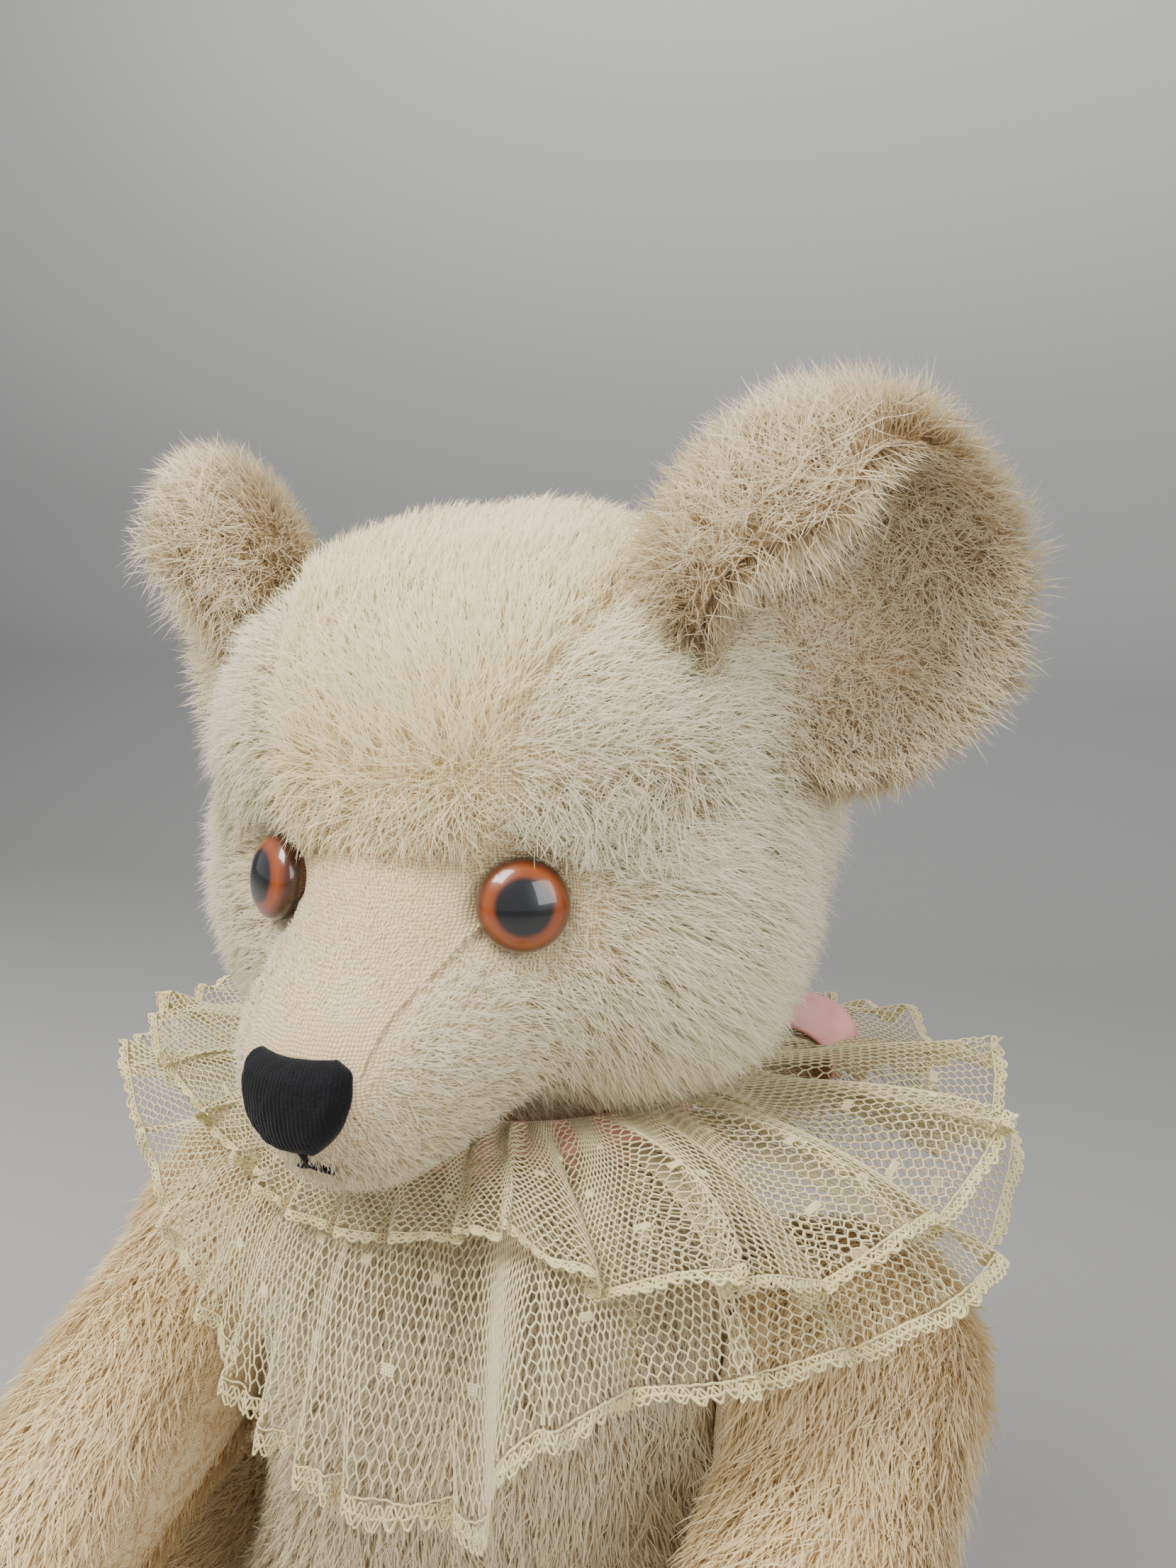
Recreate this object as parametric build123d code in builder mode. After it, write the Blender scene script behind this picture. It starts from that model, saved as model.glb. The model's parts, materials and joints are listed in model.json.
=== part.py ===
"""Jointed teddy bear with a lace ruff and a neck ribbon, seated, in millimetres.

The bear faces -Y, +X is its own left and +Z is up.
The origin is the middle of the flat underside of the torso.
Every limb and the head turns on a pair of hidden discs clamped by a bolt and a nut.
"""

import math
import os

from build123d import *

# Fabric and joint hardware
SKIN = 1.2
BODY_GAP = 0.3
DISC_THICK = 3.0
WASHER_R = 7.0
WASHER_THICK = 1.0
BOLT_R = 2.5
BORE_R = 2.55
SKIN_HOLE_R = 3.0
BOLT_HEAD_R = 4.5
BOLT_HEAD_THICK = 3.0
NUT_R = 4.6
NUT_THICK = 2.4
NUT_GAP = 0.1
BOLT_TAIL = 1.5
POCKET_CLEAR = 0.5

# Torso: height, half width, half depth, depth offset
TORSO_SECTIONS = [
    (0.0, 31.0, 28.0, 2.0),
    (8.0, 41.0, 36.0, 1.0),
    (30.0, 46.0, 41.0, 0.0),
    (60.0, 45.0, 40.0, 0.0),
    (88.0, 39.0, 34.0, 0.0),
    (112.0, 31.0, 27.0, 0.0),
]
NECK_Z = 130.0
NECK_R = 22.0
NECK_DISC_R = 19.0
NECK_BOSS_R = 21.0

# Limb joints: plane, height, boss and disc radii
SHOULDER_X = 36.0
SHOULDER_Z = 94.0
SHOULDER_SEAT_R = 26.0
SHOULDER_BOSS_R = 17.0
SHOULDER_DISC_R = 15.0
HIP_X = 40.0
HIP_Z = 27.0
HIP_SEAT_R = 31.0
HIP_BOSS_R = 23.0
HIP_DISC_R = 18.0

# Head: position along Y, half width, half height, centre height
HEAD_SECTIONS = [
    (44.0, 14.0, 14.0, 173.0),
    (36.0, 27.0, 27.0, 172.5),
    (20.0, 37.0, 36.5, 171.5),
    (2.0, 40.0, 38.5, 171.0),
    (-14.0, 36.5, 36.0, 170.0),
    (-24.0, 29.5, 31.0, 167.5),
    (-32.0, 22.5, 24.5, 164.0),
    (-41.0, 18.0, 18.0, 160.0),
    (-50.0, 15.0, 14.5, 158.0),
    (-56.0, 12.0, 11.0, 157.5),
    (-59.0, 7.5, 7.0, 157.5),
]
HEAD_MIDDLE = (0.0, 2.0, 171.0)
HEAD_TILT = 12.0
FACE_Y = -41.0
GUSSET_OUTLINE = [
    (0.0, -90.0),
    (7.5, -90.0),
    (8.0, -54.0),
    (12.5, -37.0),
    (19.0, -24.0),
    (25.0, -8.0),
    (26.0, 6.0),
    (15.0, 30.0),
    (9.0, 60.0),
    (0.0, 60.0),
]
GUSSET_LOW = 161.0
GUSSET_BACK = 9.0
GUSSET_BACK_Y = 18.0

# Ears
EAR_CENTRE = (45.0, 5.0, 199.0)
EAR_NORMAL = (0.60, -0.78, 0.15)
EAR_R = 22.0
EAR_CUP_R = 40.0
EAR_LAYER = 2.4

# Eyes
EYE_CENTRE = (17.5, -33.5, 172.5)
EYE_NORMAL = (0.50, -0.80, 0.33)
EYE_R = 5.5
EYE_SOCKET_DEPTH = 6.0
EYE_BACK = 2.0
IRIS_THICK = 0.6
LOOP_R = 2.4
LOOP_WIRE_R = 0.5

# Nose and mouth
STITCH_THICK = 1.4
NOSE_OUTLINE = [(-7.5, 164.5), (7.5, 164.5), (8.5, 160.5), (3.5, 152.5), (-3.5, 152.5), (-8.5, 160.5)]
MOUTH_WIDTH = 1.6
MOUTH_TOP = 152.2
MOUTH_LOW = 148.0

# Arms: distance along the arm, half width, half depth, sideways bend
ARM_X = 51.0
ARM_DROOP = 26.0
ARM_SECTIONS = [
    (-19.0, 8.0, 9.0, 0.0),
    (-12.0, 13.0, 15.0, 0.0),
    (0.0, 15.0, 18.5, 0.0),
    (26.0, 14.5, 15.5, 0.0),
    (52.0, 13.5, 13.5, -1.5),
    (76.0, 13.5, 13.0, 0.0),
    (92.0, 13.0, 12.5, 2.0),
    (101.0, 7.0, 7.0, 3.0),
]
PAW_CENTRE = 84.0
PAW_LENGTH = 13.0
PAW_WIDTH = 8.5
PAD_THICK = 1.2

# Legs: position along Y, half width, half height, centre height
LEG_X = 58.5
LEG_SECTIONS = [
    (26.0, 9.0, 11.0, 27.0),
    (16.0, 15.0, 20.0, 27.0),
    (0.0, 18.0, 26.0, 27.0),
    (-30.0, 18.0, 24.0, 25.0),
    (-60.0, 16.0, 20.0, 21.5),
    (-86.0, 15.0, 17.5, 19.0),
    (-102.0, 16.0, 23.0, 25.5),
    (-114.0, 17.0, 27.0, 31.5),
    (-121.0, 15.0, 25.0, 33.0),
]
FOOT_PAD = (13.0, 22.5)

# Ruff and ribbon
RUFF_THICK = 0.8
UPPER_RUFF = [(26.0, 128.0), (44.0, 126.5), (60.0, 122.5)]
LOWER_RUFF = [(26.0, 124.5), (44.0, 123.0), (66.0, 119.8)]
RUFF_NOTCH = 20.0
RIBBON_R = 24.6
RIBBON_THICK = 1.0
RIBBON_LOW = 129.0
RIBBON_HIGH = 133.0
BOW_Y = 29.5
BOW_Z = 129.8
BOW_LOOP = (9.0, 3.6)
BOW_KNOT = (7.0, 5.0, 6.0)
BOW_TAIL = (5.0, 1.0, 16.0)
BOW_TAIL_X = 4.0
BOW_TAIL_DROP = 2.0
BOW_TAIL_SPREAD = 20.0


def ellipse_loft(sections, centre, inset):
    """Loft through ellipses that stand across the Y axis."""
    first, last = sections[0][0], sections[-1][0]
    faces = []
    for y, half_x, half_z, z in sections:
        shift = -inset if y == first else inset if y == last else 0.0
        plane = Plane(origin=(centre, y + shift, z), x_dir=(1, 0, 0), z_dir=(0, -1, 0))
        with BuildSketch(plane) as section:
            Ellipse(half_x - inset, half_z - inset)
        faces.append(section.sketch.face())
    loft(sections=faces)


def torso_loft(inset):
    """Loft through the torso's level ellipses, up to the neck."""
    top = [(NECK_Z - BODY_GAP / 2, NECK_R, NECK_R, 0.0)]
    sections = TORSO_SECTIONS + top
    faces = []
    for z, half_x, half_y, y in sections:
        shift = inset if z == sections[0][0] else -inset if z == top[0][0] else 0.0
        with BuildSketch(Plane.XY.offset(z + shift)) as section:
            with Locations((0, y)):
                Ellipse(half_x - inset, half_y - inset)
        faces.append(section.sketch.face())
    loft(sections=faces)


def arm_plane():
    droop = math.radians(ARM_DROOP)
    return Plane(
        origin=(ARM_X, 0, SHOULDER_Z),
        x_dir=(1, 0, 0),
        z_dir=(0, -math.cos(droop), -math.sin(droop)),
    )


def arm_loft(inset):
    """Loft through the ellipses that stand across the left arm."""
    first, last = ARM_SECTIONS[0][0], ARM_SECTIONS[-1][0]
    faces = []
    for along, half_x, half_y, bend in ARM_SECTIONS:
        shift = inset if along == first else -inset if along == last else 0.0
        with BuildSketch(arm_plane().offset(along + shift)) as section:
            with Locations((0, bend)):
                Ellipse(half_x - inset, half_y - inset)
        faces.append(section.sketch.face())
    loft(sections=faces)


def rod_x(start, end, y, z, radius, mode=Mode.ADD):
    """Cylinder along X from start to end."""
    with Locations(Location(((start + end) / 2, y, z), (0, 90, 0))):
        Cylinder(radius, abs(end - start), mode=mode)


def rod_z(start, end, radius, mode=Mode.ADD):
    """Cylinder along Z on the neck axis."""
    with Locations((0, 0, (start + end) / 2)):
        Cylinder(radius, abs(end - start), mode=mode)


def ring_x(start, end, z, radius, bore):
    """Flat ring along X."""
    rod_x(start, end, 0, z, radius)
    rod_x(start, end, 0, z, bore, Mode.SUBTRACT)


def trim_box(low, high, mode):
    """Box between two corners."""
    size = [b - a for a, b in zip(low, high)]
    middle = [(a + b) / 2 for a, b in zip(low, high)]
    with Locations(tuple(middle)):
        Box(*size, mode=mode)


def mirrored(solid):
    return mirror(solid, about=Plane.YZ)


def tilted(solid):
    """The solid with the face turned down about the middle of the head."""
    back = tuple(-value for value in HEAD_MIDDLE)
    return Location(HEAD_MIDDLE) * Location((0, 0, 0), (HEAD_TILT, 0, 0)) * Location(back) * solid


BIG = 300.0
NECK_LOW = NECK_Z - BODY_GAP / 2
NECK_HIGH = NECK_Z + BODY_GAP / 2
SHOULDER_IN = SHOULDER_X - BODY_GAP / 2
SHOULDER_OUT = SHOULDER_X + BODY_GAP / 2
HIP_IN = HIP_X - BODY_GAP / 2
HIP_OUT = HIP_X + BODY_GAP / 2
STACK_IN = SKIN + DISC_THICK + WASHER_THICK
NUT_END = STACK_IN + NUT_GAP + NUT_THICK
BOLT_END = NUT_END + BOLT_TAIL
POCKET_END = BOLT_END + POCKET_CLEAR
HEAD_END = STACK_IN + BOLT_HEAD_THICK
POCKET_FAR = HEAD_END + POCKET_CLEAR

# Helper volumes shared by the torso pieces
with BuildPart() as torso_outer:
    torso_loft(0.0)
    rod_x(-SHOULDER_IN, SHOULDER_IN, 0, SHOULDER_Z, SHOULDER_BOSS_R)
    for side in (-1, 1):
        rod_x(side * SHOULDER_IN, side * BIG, 0, SHOULDER_Z, SHOULDER_SEAT_R, Mode.SUBTRACT)
        rod_x(side * HIP_IN, side * BIG, 0, HIP_Z, HIP_SEAT_R, Mode.SUBTRACT)

with BuildPart() as torso_inner:
    torso_loft(SKIN)
    rod_x(-SHOULDER_IN, SHOULDER_IN, 0, SHOULDER_Z, SHOULDER_BOSS_R - SKIN)
    for side in (-1, 1):
        rod_x(
            side * (SHOULDER_IN - SKIN), side * BIG, 0, SHOULDER_Z, SHOULDER_SEAT_R + SKIN,
            Mode.SUBTRACT,
        )
        rod_x(side * (HIP_IN - SKIN), side * BIG, 0, HIP_Z, HIP_SEAT_R + SKIN, Mode.SUBTRACT)

with BuildPart() as torso_shell:
    add(torso_outer.part)
    add(torso_inner.part, mode=Mode.SUBTRACT)
    rod_x(-BIG, BIG, 0, SHOULDER_Z, SKIN_HOLE_R, Mode.SUBTRACT)
    rod_x(-BIG, BIG, 0, HIP_Z, SKIN_HOLE_R, Mode.SUBTRACT)
    rod_z(NECK_Z - 4 * SKIN, NECK_Z + SKIN, SKIN_HOLE_R, Mode.SUBTRACT)

# Torso pieces
with BuildPart() as torso_left_skin:
    add(torso_shell.part)
    trim_box((0, -BIG, -BIG), (BIG, BIG, BIG), Mode.INTERSECT)

with BuildPart() as torso_right_skin:
    add(torso_shell.part)
    trim_box((-BIG, -BIG, -BIG), (0, BIG, BIG), Mode.INTERSECT)

with BuildPart() as torso_stuffing:
    add(torso_inner.part)
    for side in (-1, 1):
        rod_x(
            side * (SHOULDER_IN - POCKET_END), side * BIG, 0, SHOULDER_Z,
            SHOULDER_DISC_R + POCKET_CLEAR, Mode.SUBTRACT,
        )
        rod_x(
            side * (HIP_IN - POCKET_END), side * BIG, 0, HIP_Z, HIP_DISC_R + POCKET_CLEAR,
            Mode.SUBTRACT,
        )
    rod_z(NECK_LOW - POCKET_END, NECK_HIGH, NECK_DISC_R + POCKET_CLEAR, Mode.SUBTRACT)

with BuildPart() as neck_disc_lower:
    rod_z(NECK_LOW - SKIN - DISC_THICK, NECK_LOW - SKIN, NECK_DISC_R)
    rod_z(NECK_LOW - SKIN - DISC_THICK, NECK_LOW - SKIN, BORE_R, Mode.SUBTRACT)

with BuildPart() as shoulder_discs:
    for side in (-1, 1):
        start = side * (SHOULDER_IN - SKIN - DISC_THICK)
        ring_x(start, side * (SHOULDER_IN - SKIN), SHOULDER_Z, SHOULDER_DISC_R, BORE_R)

with BuildPart() as hip_discs:
    for side in (-1, 1):
        start = side * (HIP_IN - SKIN - DISC_THICK)
        ring_x(start, side * (HIP_IN - SKIN), HIP_Z, HIP_DISC_R, BORE_R)

with BuildPart() as torso_washers:
    for side in (-1, 1):
        shoulder_end = SHOULDER_IN - SKIN - DISC_THICK
        hip_end = HIP_IN - SKIN - DISC_THICK
        ring_x(side * (shoulder_end - WASHER_THICK), side * shoulder_end, SHOULDER_Z, WASHER_R, BORE_R)
        ring_x(side * (hip_end - WASHER_THICK), side * hip_end, HIP_Z, WASHER_R, BORE_R)
    rod_z(NECK_LOW - STACK_IN, NECK_LOW - SKIN - DISC_THICK, WASHER_R)
    rod_z(NECK_LOW - STACK_IN, NECK_LOW - SKIN - DISC_THICK, BORE_R, Mode.SUBTRACT)


def ruff_ring(profile):
    """Saucer-shaped collar turned from an outward-falling line."""
    lower = [(r, z - RUFF_THICK) for r, z in reversed(profile)]
    with BuildSketch(Plane.XZ) as section:
        with BuildLine():
            Polyline(*profile, *lower, close=True)
        make_face()
    revolve(section.sketch, axis=Axis.Z)


with BuildPart() as ruff_upper_lace:
    ruff_ring(UPPER_RUFF)
    trim_box((-RUFF_NOTCH, 0, 0), (RUFF_NOTCH, BIG, BIG), Mode.SUBTRACT)

with BuildPart() as ruff_lower_lace:
    ruff_ring(LOWER_RUFF)

with BuildPart() as neck_ribbon:
    rod_z(RIBBON_LOW, RIBBON_HIGH, RIBBON_R + RIBBON_THICK)
    rod_z(RIBBON_LOW, RIBBON_HIGH, RIBBON_R, Mode.SUBTRACT)

with BuildPart() as ribbon_bow:
    with Locations((0, BOW_Y, BOW_Z)):
        Box(*BOW_KNOT)
    for side in (-1, 1):
        with BuildSketch(Plane.XZ.offset(-BOW_Y)):
            with Locations((side * BOW_LOOP[0], BOW_Z)):
                Ellipse(*BOW_LOOP)
                Ellipse(BOW_LOOP[0] - RIBBON_THICK, BOW_LOOP[1] - RIBBON_THICK, mode=Mode.SUBTRACT)
        extrude(amount=BOW_KNOT[1] / 2, both=True)
        tail_root = (side * BOW_TAIL_X, BOW_Y + BOW_TAIL[2] / 2, BOW_Z - BOW_TAIL_DROP)
        with Locations(Location(tail_root, (90, 0, -side * BOW_TAIL_SPREAD))):
            Box(*BOW_TAIL)

# Helper volumes shared by the head pieces
EYE_PLANES = [
    Plane(
        origin=(side * EYE_CENTRE[0], EYE_CENTRE[1], EYE_CENTRE[2]),
        z_dir=(side * EYE_NORMAL[0], EYE_NORMAL[1], EYE_NORMAL[2]),
    )
    for side in (1, -1)
]
LEFT_EYE, RIGHT_EYE = EYE_PLANES


with BuildPart() as upright_outer:
    ellipse_loft(HEAD_SECTIONS, 0.0, 0.0)

with BuildPart() as upright_inner:
    ellipse_loft(HEAD_SECTIONS, 0.0, SKIN)

with BuildPart() as upright_raised:
    ellipse_loft(HEAD_SECTIONS, 0.0, -STITCH_THICK)

with BuildPart() as head_outer:
    add(tilted(upright_outer.part))
    rod_z(NECK_HIGH, HEAD_MIDDLE[2], NECK_BOSS_R)

with BuildPart() as head_inner:
    add(tilted(upright_inner.part))
    rod_z(NECK_HIGH + SKIN, HEAD_MIDDLE[2], NECK_BOSS_R - SKIN)

with BuildPart() as upright_sockets:
    for plane in EYE_PLANES:
        with Locations(plane.location):
            with Locations((0, 0, (EYE_SOCKET_DEPTH - EYE_BACK) / 2)):
                Cylinder(EYE_R + POCKET_CLEAR / 2, EYE_SOCKET_DEPTH + EYE_BACK)
            with Locations((0, 0, -EYE_SOCKET_DEPTH / 2 - EYE_BACK)):
                Cylinder(LOOP_R + 2 * LOOP_WIRE_R + POCKET_CLEAR, EYE_SOCKET_DEPTH + EYE_BACK)

with BuildPart() as eye_sockets:
    add(tilted(upright_sockets.part))

with BuildPart() as upright_gusset:
    with BuildSketch(Plane.XY.offset(GUSSET_LOW)):
        with BuildLine():
            Polyline(*GUSSET_OUTLINE, close=True)
        make_face()
        mirror(about=Plane.YZ)
    extrude(amount=BIG)
    trim_box((-GUSSET_BACK, GUSSET_BACK_Y, 0), (GUSSET_BACK, BIG, BIG), Mode.ADD)

with BuildPart() as gusset_zone:
    add(tilted(upright_gusset.part))

with BuildPart() as head_shell:
    add(head_outer.part)
    add(head_inner.part, mode=Mode.SUBTRACT)
    add(eye_sockets.part, mode=Mode.SUBTRACT)
    rod_z(NECK_Z, NECK_Z + 2 * SKIN, SKIN_HOLE_R, Mode.SUBTRACT)

# Head pieces
with BuildPart() as head_left_side:
    add(head_shell.part)
    add(gusset_zone.part, mode=Mode.SUBTRACT)
    trim_box((0, -BIG, -BIG), (BIG, BIG, BIG), Mode.INTERSECT)

with BuildPart() as head_right_side:
    add(head_shell.part)
    add(gusset_zone.part, mode=Mode.SUBTRACT)
    trim_box((-BIG, -BIG, -BIG), (0, BIG, BIG), Mode.INTERSECT)

with BuildPart() as head_gusset:
    add(head_shell.part)
    add(gusset_zone.part, mode=Mode.INTERSECT)

with BuildPart() as head_stuffing:
    add(head_inner.part)
    add(eye_sockets.part, mode=Mode.SUBTRACT)
    rod_z(NECK_Z, NECK_HIGH + POCKET_FAR, NECK_DISC_R + POCKET_CLEAR, Mode.SUBTRACT)

EAR_PLANE = Plane(origin=EAR_CENTRE, z_dir=EAR_NORMAL)


def ear_layer(outer_radius):
    """One cupped layer of the left ear on an upright head."""
    with Locations(EAR_PLANE.location):
        Cylinder(EAR_R, EAR_CUP_R)
        with Locations((0, 0, EAR_CUP_R - EAR_LAYER)):
            Sphere(outer_radius, mode=Mode.INTERSECT)
            Sphere(outer_radius - EAR_LAYER, mode=Mode.SUBTRACT)


with BuildPart() as upright_ear_front:
    ear_layer(EAR_CUP_R)

with BuildPart() as upright_ear_back:
    ear_layer(EAR_CUP_R + EAR_LAYER)

with BuildPart() as left_ear_front:
    add(tilted(upright_ear_front.part))
    add(head_outer.part, mode=Mode.SUBTRACT)

with BuildPart() as left_ear_back:
    add(tilted(upright_ear_back.part))
    add(head_outer.part, mode=Mode.SUBTRACT)

with BuildPart() as right_ear_front:
    add(mirrored(left_ear_front.part))

with BuildPart() as right_ear_back:
    add(mirrored(left_ear_back.part))


def eye_glass(plane):
    """Clear dome in front of the eye's plane."""
    with Locations(plane.location):
        Sphere(EYE_R)
        with Locations((0, 0, EYE_R / 2)):
            Box(4 * EYE_R, 4 * EYE_R, EYE_R, mode=Mode.INTERSECT)


def eye_iris(plane):
    """Coloured disc behind the dome."""
    with Locations(plane.location):
        with Locations((0, 0, -IRIS_THICK / 2)):
            Cylinder(EYE_R, IRIS_THICK)


def eye_loop(plane):
    """Wire loop that the eye is sewn on by."""
    with Locations(plane.location):
        with Locations(Location((0, 0, -IRIS_THICK - LOOP_R - LOOP_WIRE_R), (90, 0, 0))):
            Torus(LOOP_R, LOOP_WIRE_R)


with BuildPart() as upright_glass:
    eye_glass(LEFT_EYE)

with BuildPart() as upright_iris:
    eye_iris(LEFT_EYE)

with BuildPart() as upright_loop:
    eye_loop(LEFT_EYE)

with BuildPart() as left_eye_glass:
    add(tilted(upright_glass.part))

with BuildPart() as right_eye_glass:
    add(mirrored(left_eye_glass.part))

with BuildPart() as left_eye_iris:
    add(tilted(upright_iris.part))

with BuildPart() as right_eye_iris:
    add(mirrored(left_eye_iris.part))

with BuildPart() as left_eye_loop:
    add(tilted(upright_loop.part))

with BuildPart() as right_eye_loop:
    add(mirrored(left_eye_loop.part))

with BuildPart() as upright_nose:
    add(upright_raised.part)
    with BuildSketch(Plane.XZ.offset(-FACE_Y)):
        with BuildLine():
            Polyline(*NOSE_OUTLINE, close=True)
        make_face()
    extrude(amount=BIG, mode=Mode.INTERSECT)
    add(upright_outer.part, mode=Mode.SUBTRACT)

with BuildPart() as nose_stitching:
    add(tilted(upright_nose.part))

with BuildPart() as upright_mouth:
    add(upright_raised.part)
    trim_box(
        (-MOUTH_WIDTH / 2, -BIG, MOUTH_LOW), (MOUTH_WIDTH / 2, FACE_Y, MOUTH_TOP),
        Mode.INTERSECT,
    )
    add(upright_outer.part, mode=Mode.SUBTRACT)

with BuildPart() as mouth_stitch:
    add(tilted(upright_mouth.part))

with BuildPart() as head_disc:
    rod_z(NECK_HIGH + SKIN, NECK_HIGH + SKIN + DISC_THICK, NECK_DISC_R)
    rod_z(NECK_HIGH + SKIN, NECK_HIGH + SKIN + DISC_THICK, BOLT_R, Mode.SUBTRACT)

with BuildPart() as head_washer:
    rod_z(NECK_HIGH + SKIN + DISC_THICK, NECK_HIGH + STACK_IN, WASHER_R)
    rod_z(NECK_HIGH + SKIN + DISC_THICK, NECK_HIGH + STACK_IN, BOLT_R, Mode.SUBTRACT)

with BuildPart() as neck_bolt:
    rod_z(NECK_LOW - BOLT_END, NECK_HIGH + STACK_IN, BOLT_R)
    rod_z(NECK_HIGH + STACK_IN, NECK_HIGH + HEAD_END, BOLT_HEAD_R)

with BuildPart() as neck_nut:
    rod_z(NECK_LOW - NUT_END, NECK_LOW - STACK_IN - NUT_GAP, NUT_R)
    rod_z(NECK_LOW - NUT_END, NECK_LOW - STACK_IN - NUT_GAP, BOLT_R, Mode.SUBTRACT)

# Helper volumes shared by the limb pieces
with BuildPart() as arm_outer:
    arm_loft(0.0)
    rod_x(SHOULDER_OUT, ARM_X, 0, SHOULDER_Z, SHOULDER_BOSS_R)
    trim_box((SHOULDER_OUT, -BIG, -BIG), (BIG, BIG, BIG), Mode.INTERSECT)

with BuildPart() as arm_inner:
    arm_loft(SKIN)
    rod_x(SHOULDER_OUT + SKIN, ARM_X, 0, SHOULDER_Z, SHOULDER_BOSS_R - SKIN)
    trim_box((SHOULDER_OUT + SKIN, -BIG, -BIG), (BIG, BIG, BIG), Mode.INTERSECT)

with BuildPart() as leg_outer:
    ellipse_loft(LEG_SECTIONS, LEG_X, 0.0)
    rod_x(HIP_OUT, LEG_X, 0, HIP_Z, HIP_BOSS_R)
    trim_box((HIP_OUT, -BIG, -BIG), (BIG, BIG, BIG), Mode.INTERSECT)

with BuildPart() as leg_inner:
    ellipse_loft(LEG_SECTIONS, LEG_X, SKIN)
    rod_x(HIP_OUT + SKIN, LEG_X, 0, HIP_Z, HIP_BOSS_R - SKIN)
    trim_box((HIP_OUT + SKIN, -BIG, -BIG), (BIG, BIG, BIG), Mode.INTERSECT)

# Left arm pieces
with BuildPart() as left_arm_skin:
    add(arm_outer.part)
    add(arm_inner.part, mode=Mode.SUBTRACT)
    rod_x(SHOULDER_X, SHOULDER_OUT + 2 * SKIN, 0, SHOULDER_Z, SKIN_HOLE_R, Mode.SUBTRACT)

with BuildPart() as left_paw_pad:
    arm_loft(-PAD_THICK)
    with BuildSketch(arm_plane()):
        with Locations((0, -ARM_X / 2)):
            Rectangle(ARM_X, ARM_X)
    extrude(amount=BIG, mode=Mode.INTERSECT)
    pad_plane = Plane(
        origin=arm_plane().from_local_coords((0, 0, PAW_CENTRE)),
        x_dir=(1, 0, 0),
        z_dir=arm_plane().y_dir,
    )
    with BuildSketch(pad_plane):
        Ellipse(PAW_WIDTH, PAW_LENGTH)
    extrude(amount=-ARM_X, mode=Mode.INTERSECT)
    add(arm_outer.part, mode=Mode.SUBTRACT)

with BuildPart() as left_arm_stuffing:
    add(arm_inner.part)
    rod_x(
        SHOULDER_X, SHOULDER_OUT + POCKET_FAR, 0, SHOULDER_Z, SHOULDER_DISC_R + POCKET_CLEAR,
        Mode.SUBTRACT,
    )

# Left leg pieces
with BuildPart() as left_leg_skin:
    add(leg_outer.part)
    add(leg_inner.part, mode=Mode.SUBTRACT)
    rod_x(HIP_X, HIP_OUT + 2 * SKIN, 0, HIP_Z, SKIN_HOLE_R, Mode.SUBTRACT)

with BuildPart() as left_foot_pad:
    with BuildSketch(Plane(
        origin=(LEG_X, LEG_SECTIONS[-1][0], LEG_SECTIONS[-1][3]), x_dir=(1, 0, 0), z_dir=(0, -1, 0),
    )):
        Ellipse(*FOOT_PAD)
    extrude(amount=PAD_THICK)

with BuildPart() as left_leg_stuffing:
    add(leg_inner.part)
    rod_x(HIP_X, HIP_OUT + POCKET_FAR, 0, HIP_Z, HIP_DISC_R + POCKET_CLEAR, Mode.SUBTRACT)


def limb_disc(face, z, radius):
    ring_x(face + SKIN, face + SKIN + DISC_THICK, z, radius, BOLT_R)


def limb_washer(face, z):
    ring_x(face + SKIN + DISC_THICK, face + STACK_IN, z, WASHER_R, BOLT_R)


def limb_bolt(face, z):
    rod_x(face - BODY_GAP - BOLT_END, face + STACK_IN, 0, z, BOLT_R)
    rod_x(face + STACK_IN, face + HEAD_END, 0, z, BOLT_HEAD_R)


def limb_nut(face, z):
    start = face - BODY_GAP - NUT_END
    ring_x(start, start + NUT_THICK, z, NUT_R, BOLT_R)


with BuildPart() as left_arm_disc:
    limb_disc(SHOULDER_OUT, SHOULDER_Z, SHOULDER_DISC_R)

with BuildPart() as left_arm_washer:
    limb_washer(SHOULDER_OUT, SHOULDER_Z)

with BuildPart() as left_arm_bolt:
    limb_bolt(SHOULDER_OUT, SHOULDER_Z)

with BuildPart() as left_arm_nut:
    limb_nut(SHOULDER_OUT, SHOULDER_Z)

with BuildPart() as left_leg_disc:
    limb_disc(HIP_OUT, HIP_Z, HIP_DISC_R)

with BuildPart() as left_leg_washer:
    limb_washer(HIP_OUT, HIP_Z)

with BuildPart() as left_leg_bolt:
    limb_bolt(HIP_OUT, HIP_Z)

with BuildPart() as left_leg_nut:
    limb_nut(HIP_OUT, HIP_Z)

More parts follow.
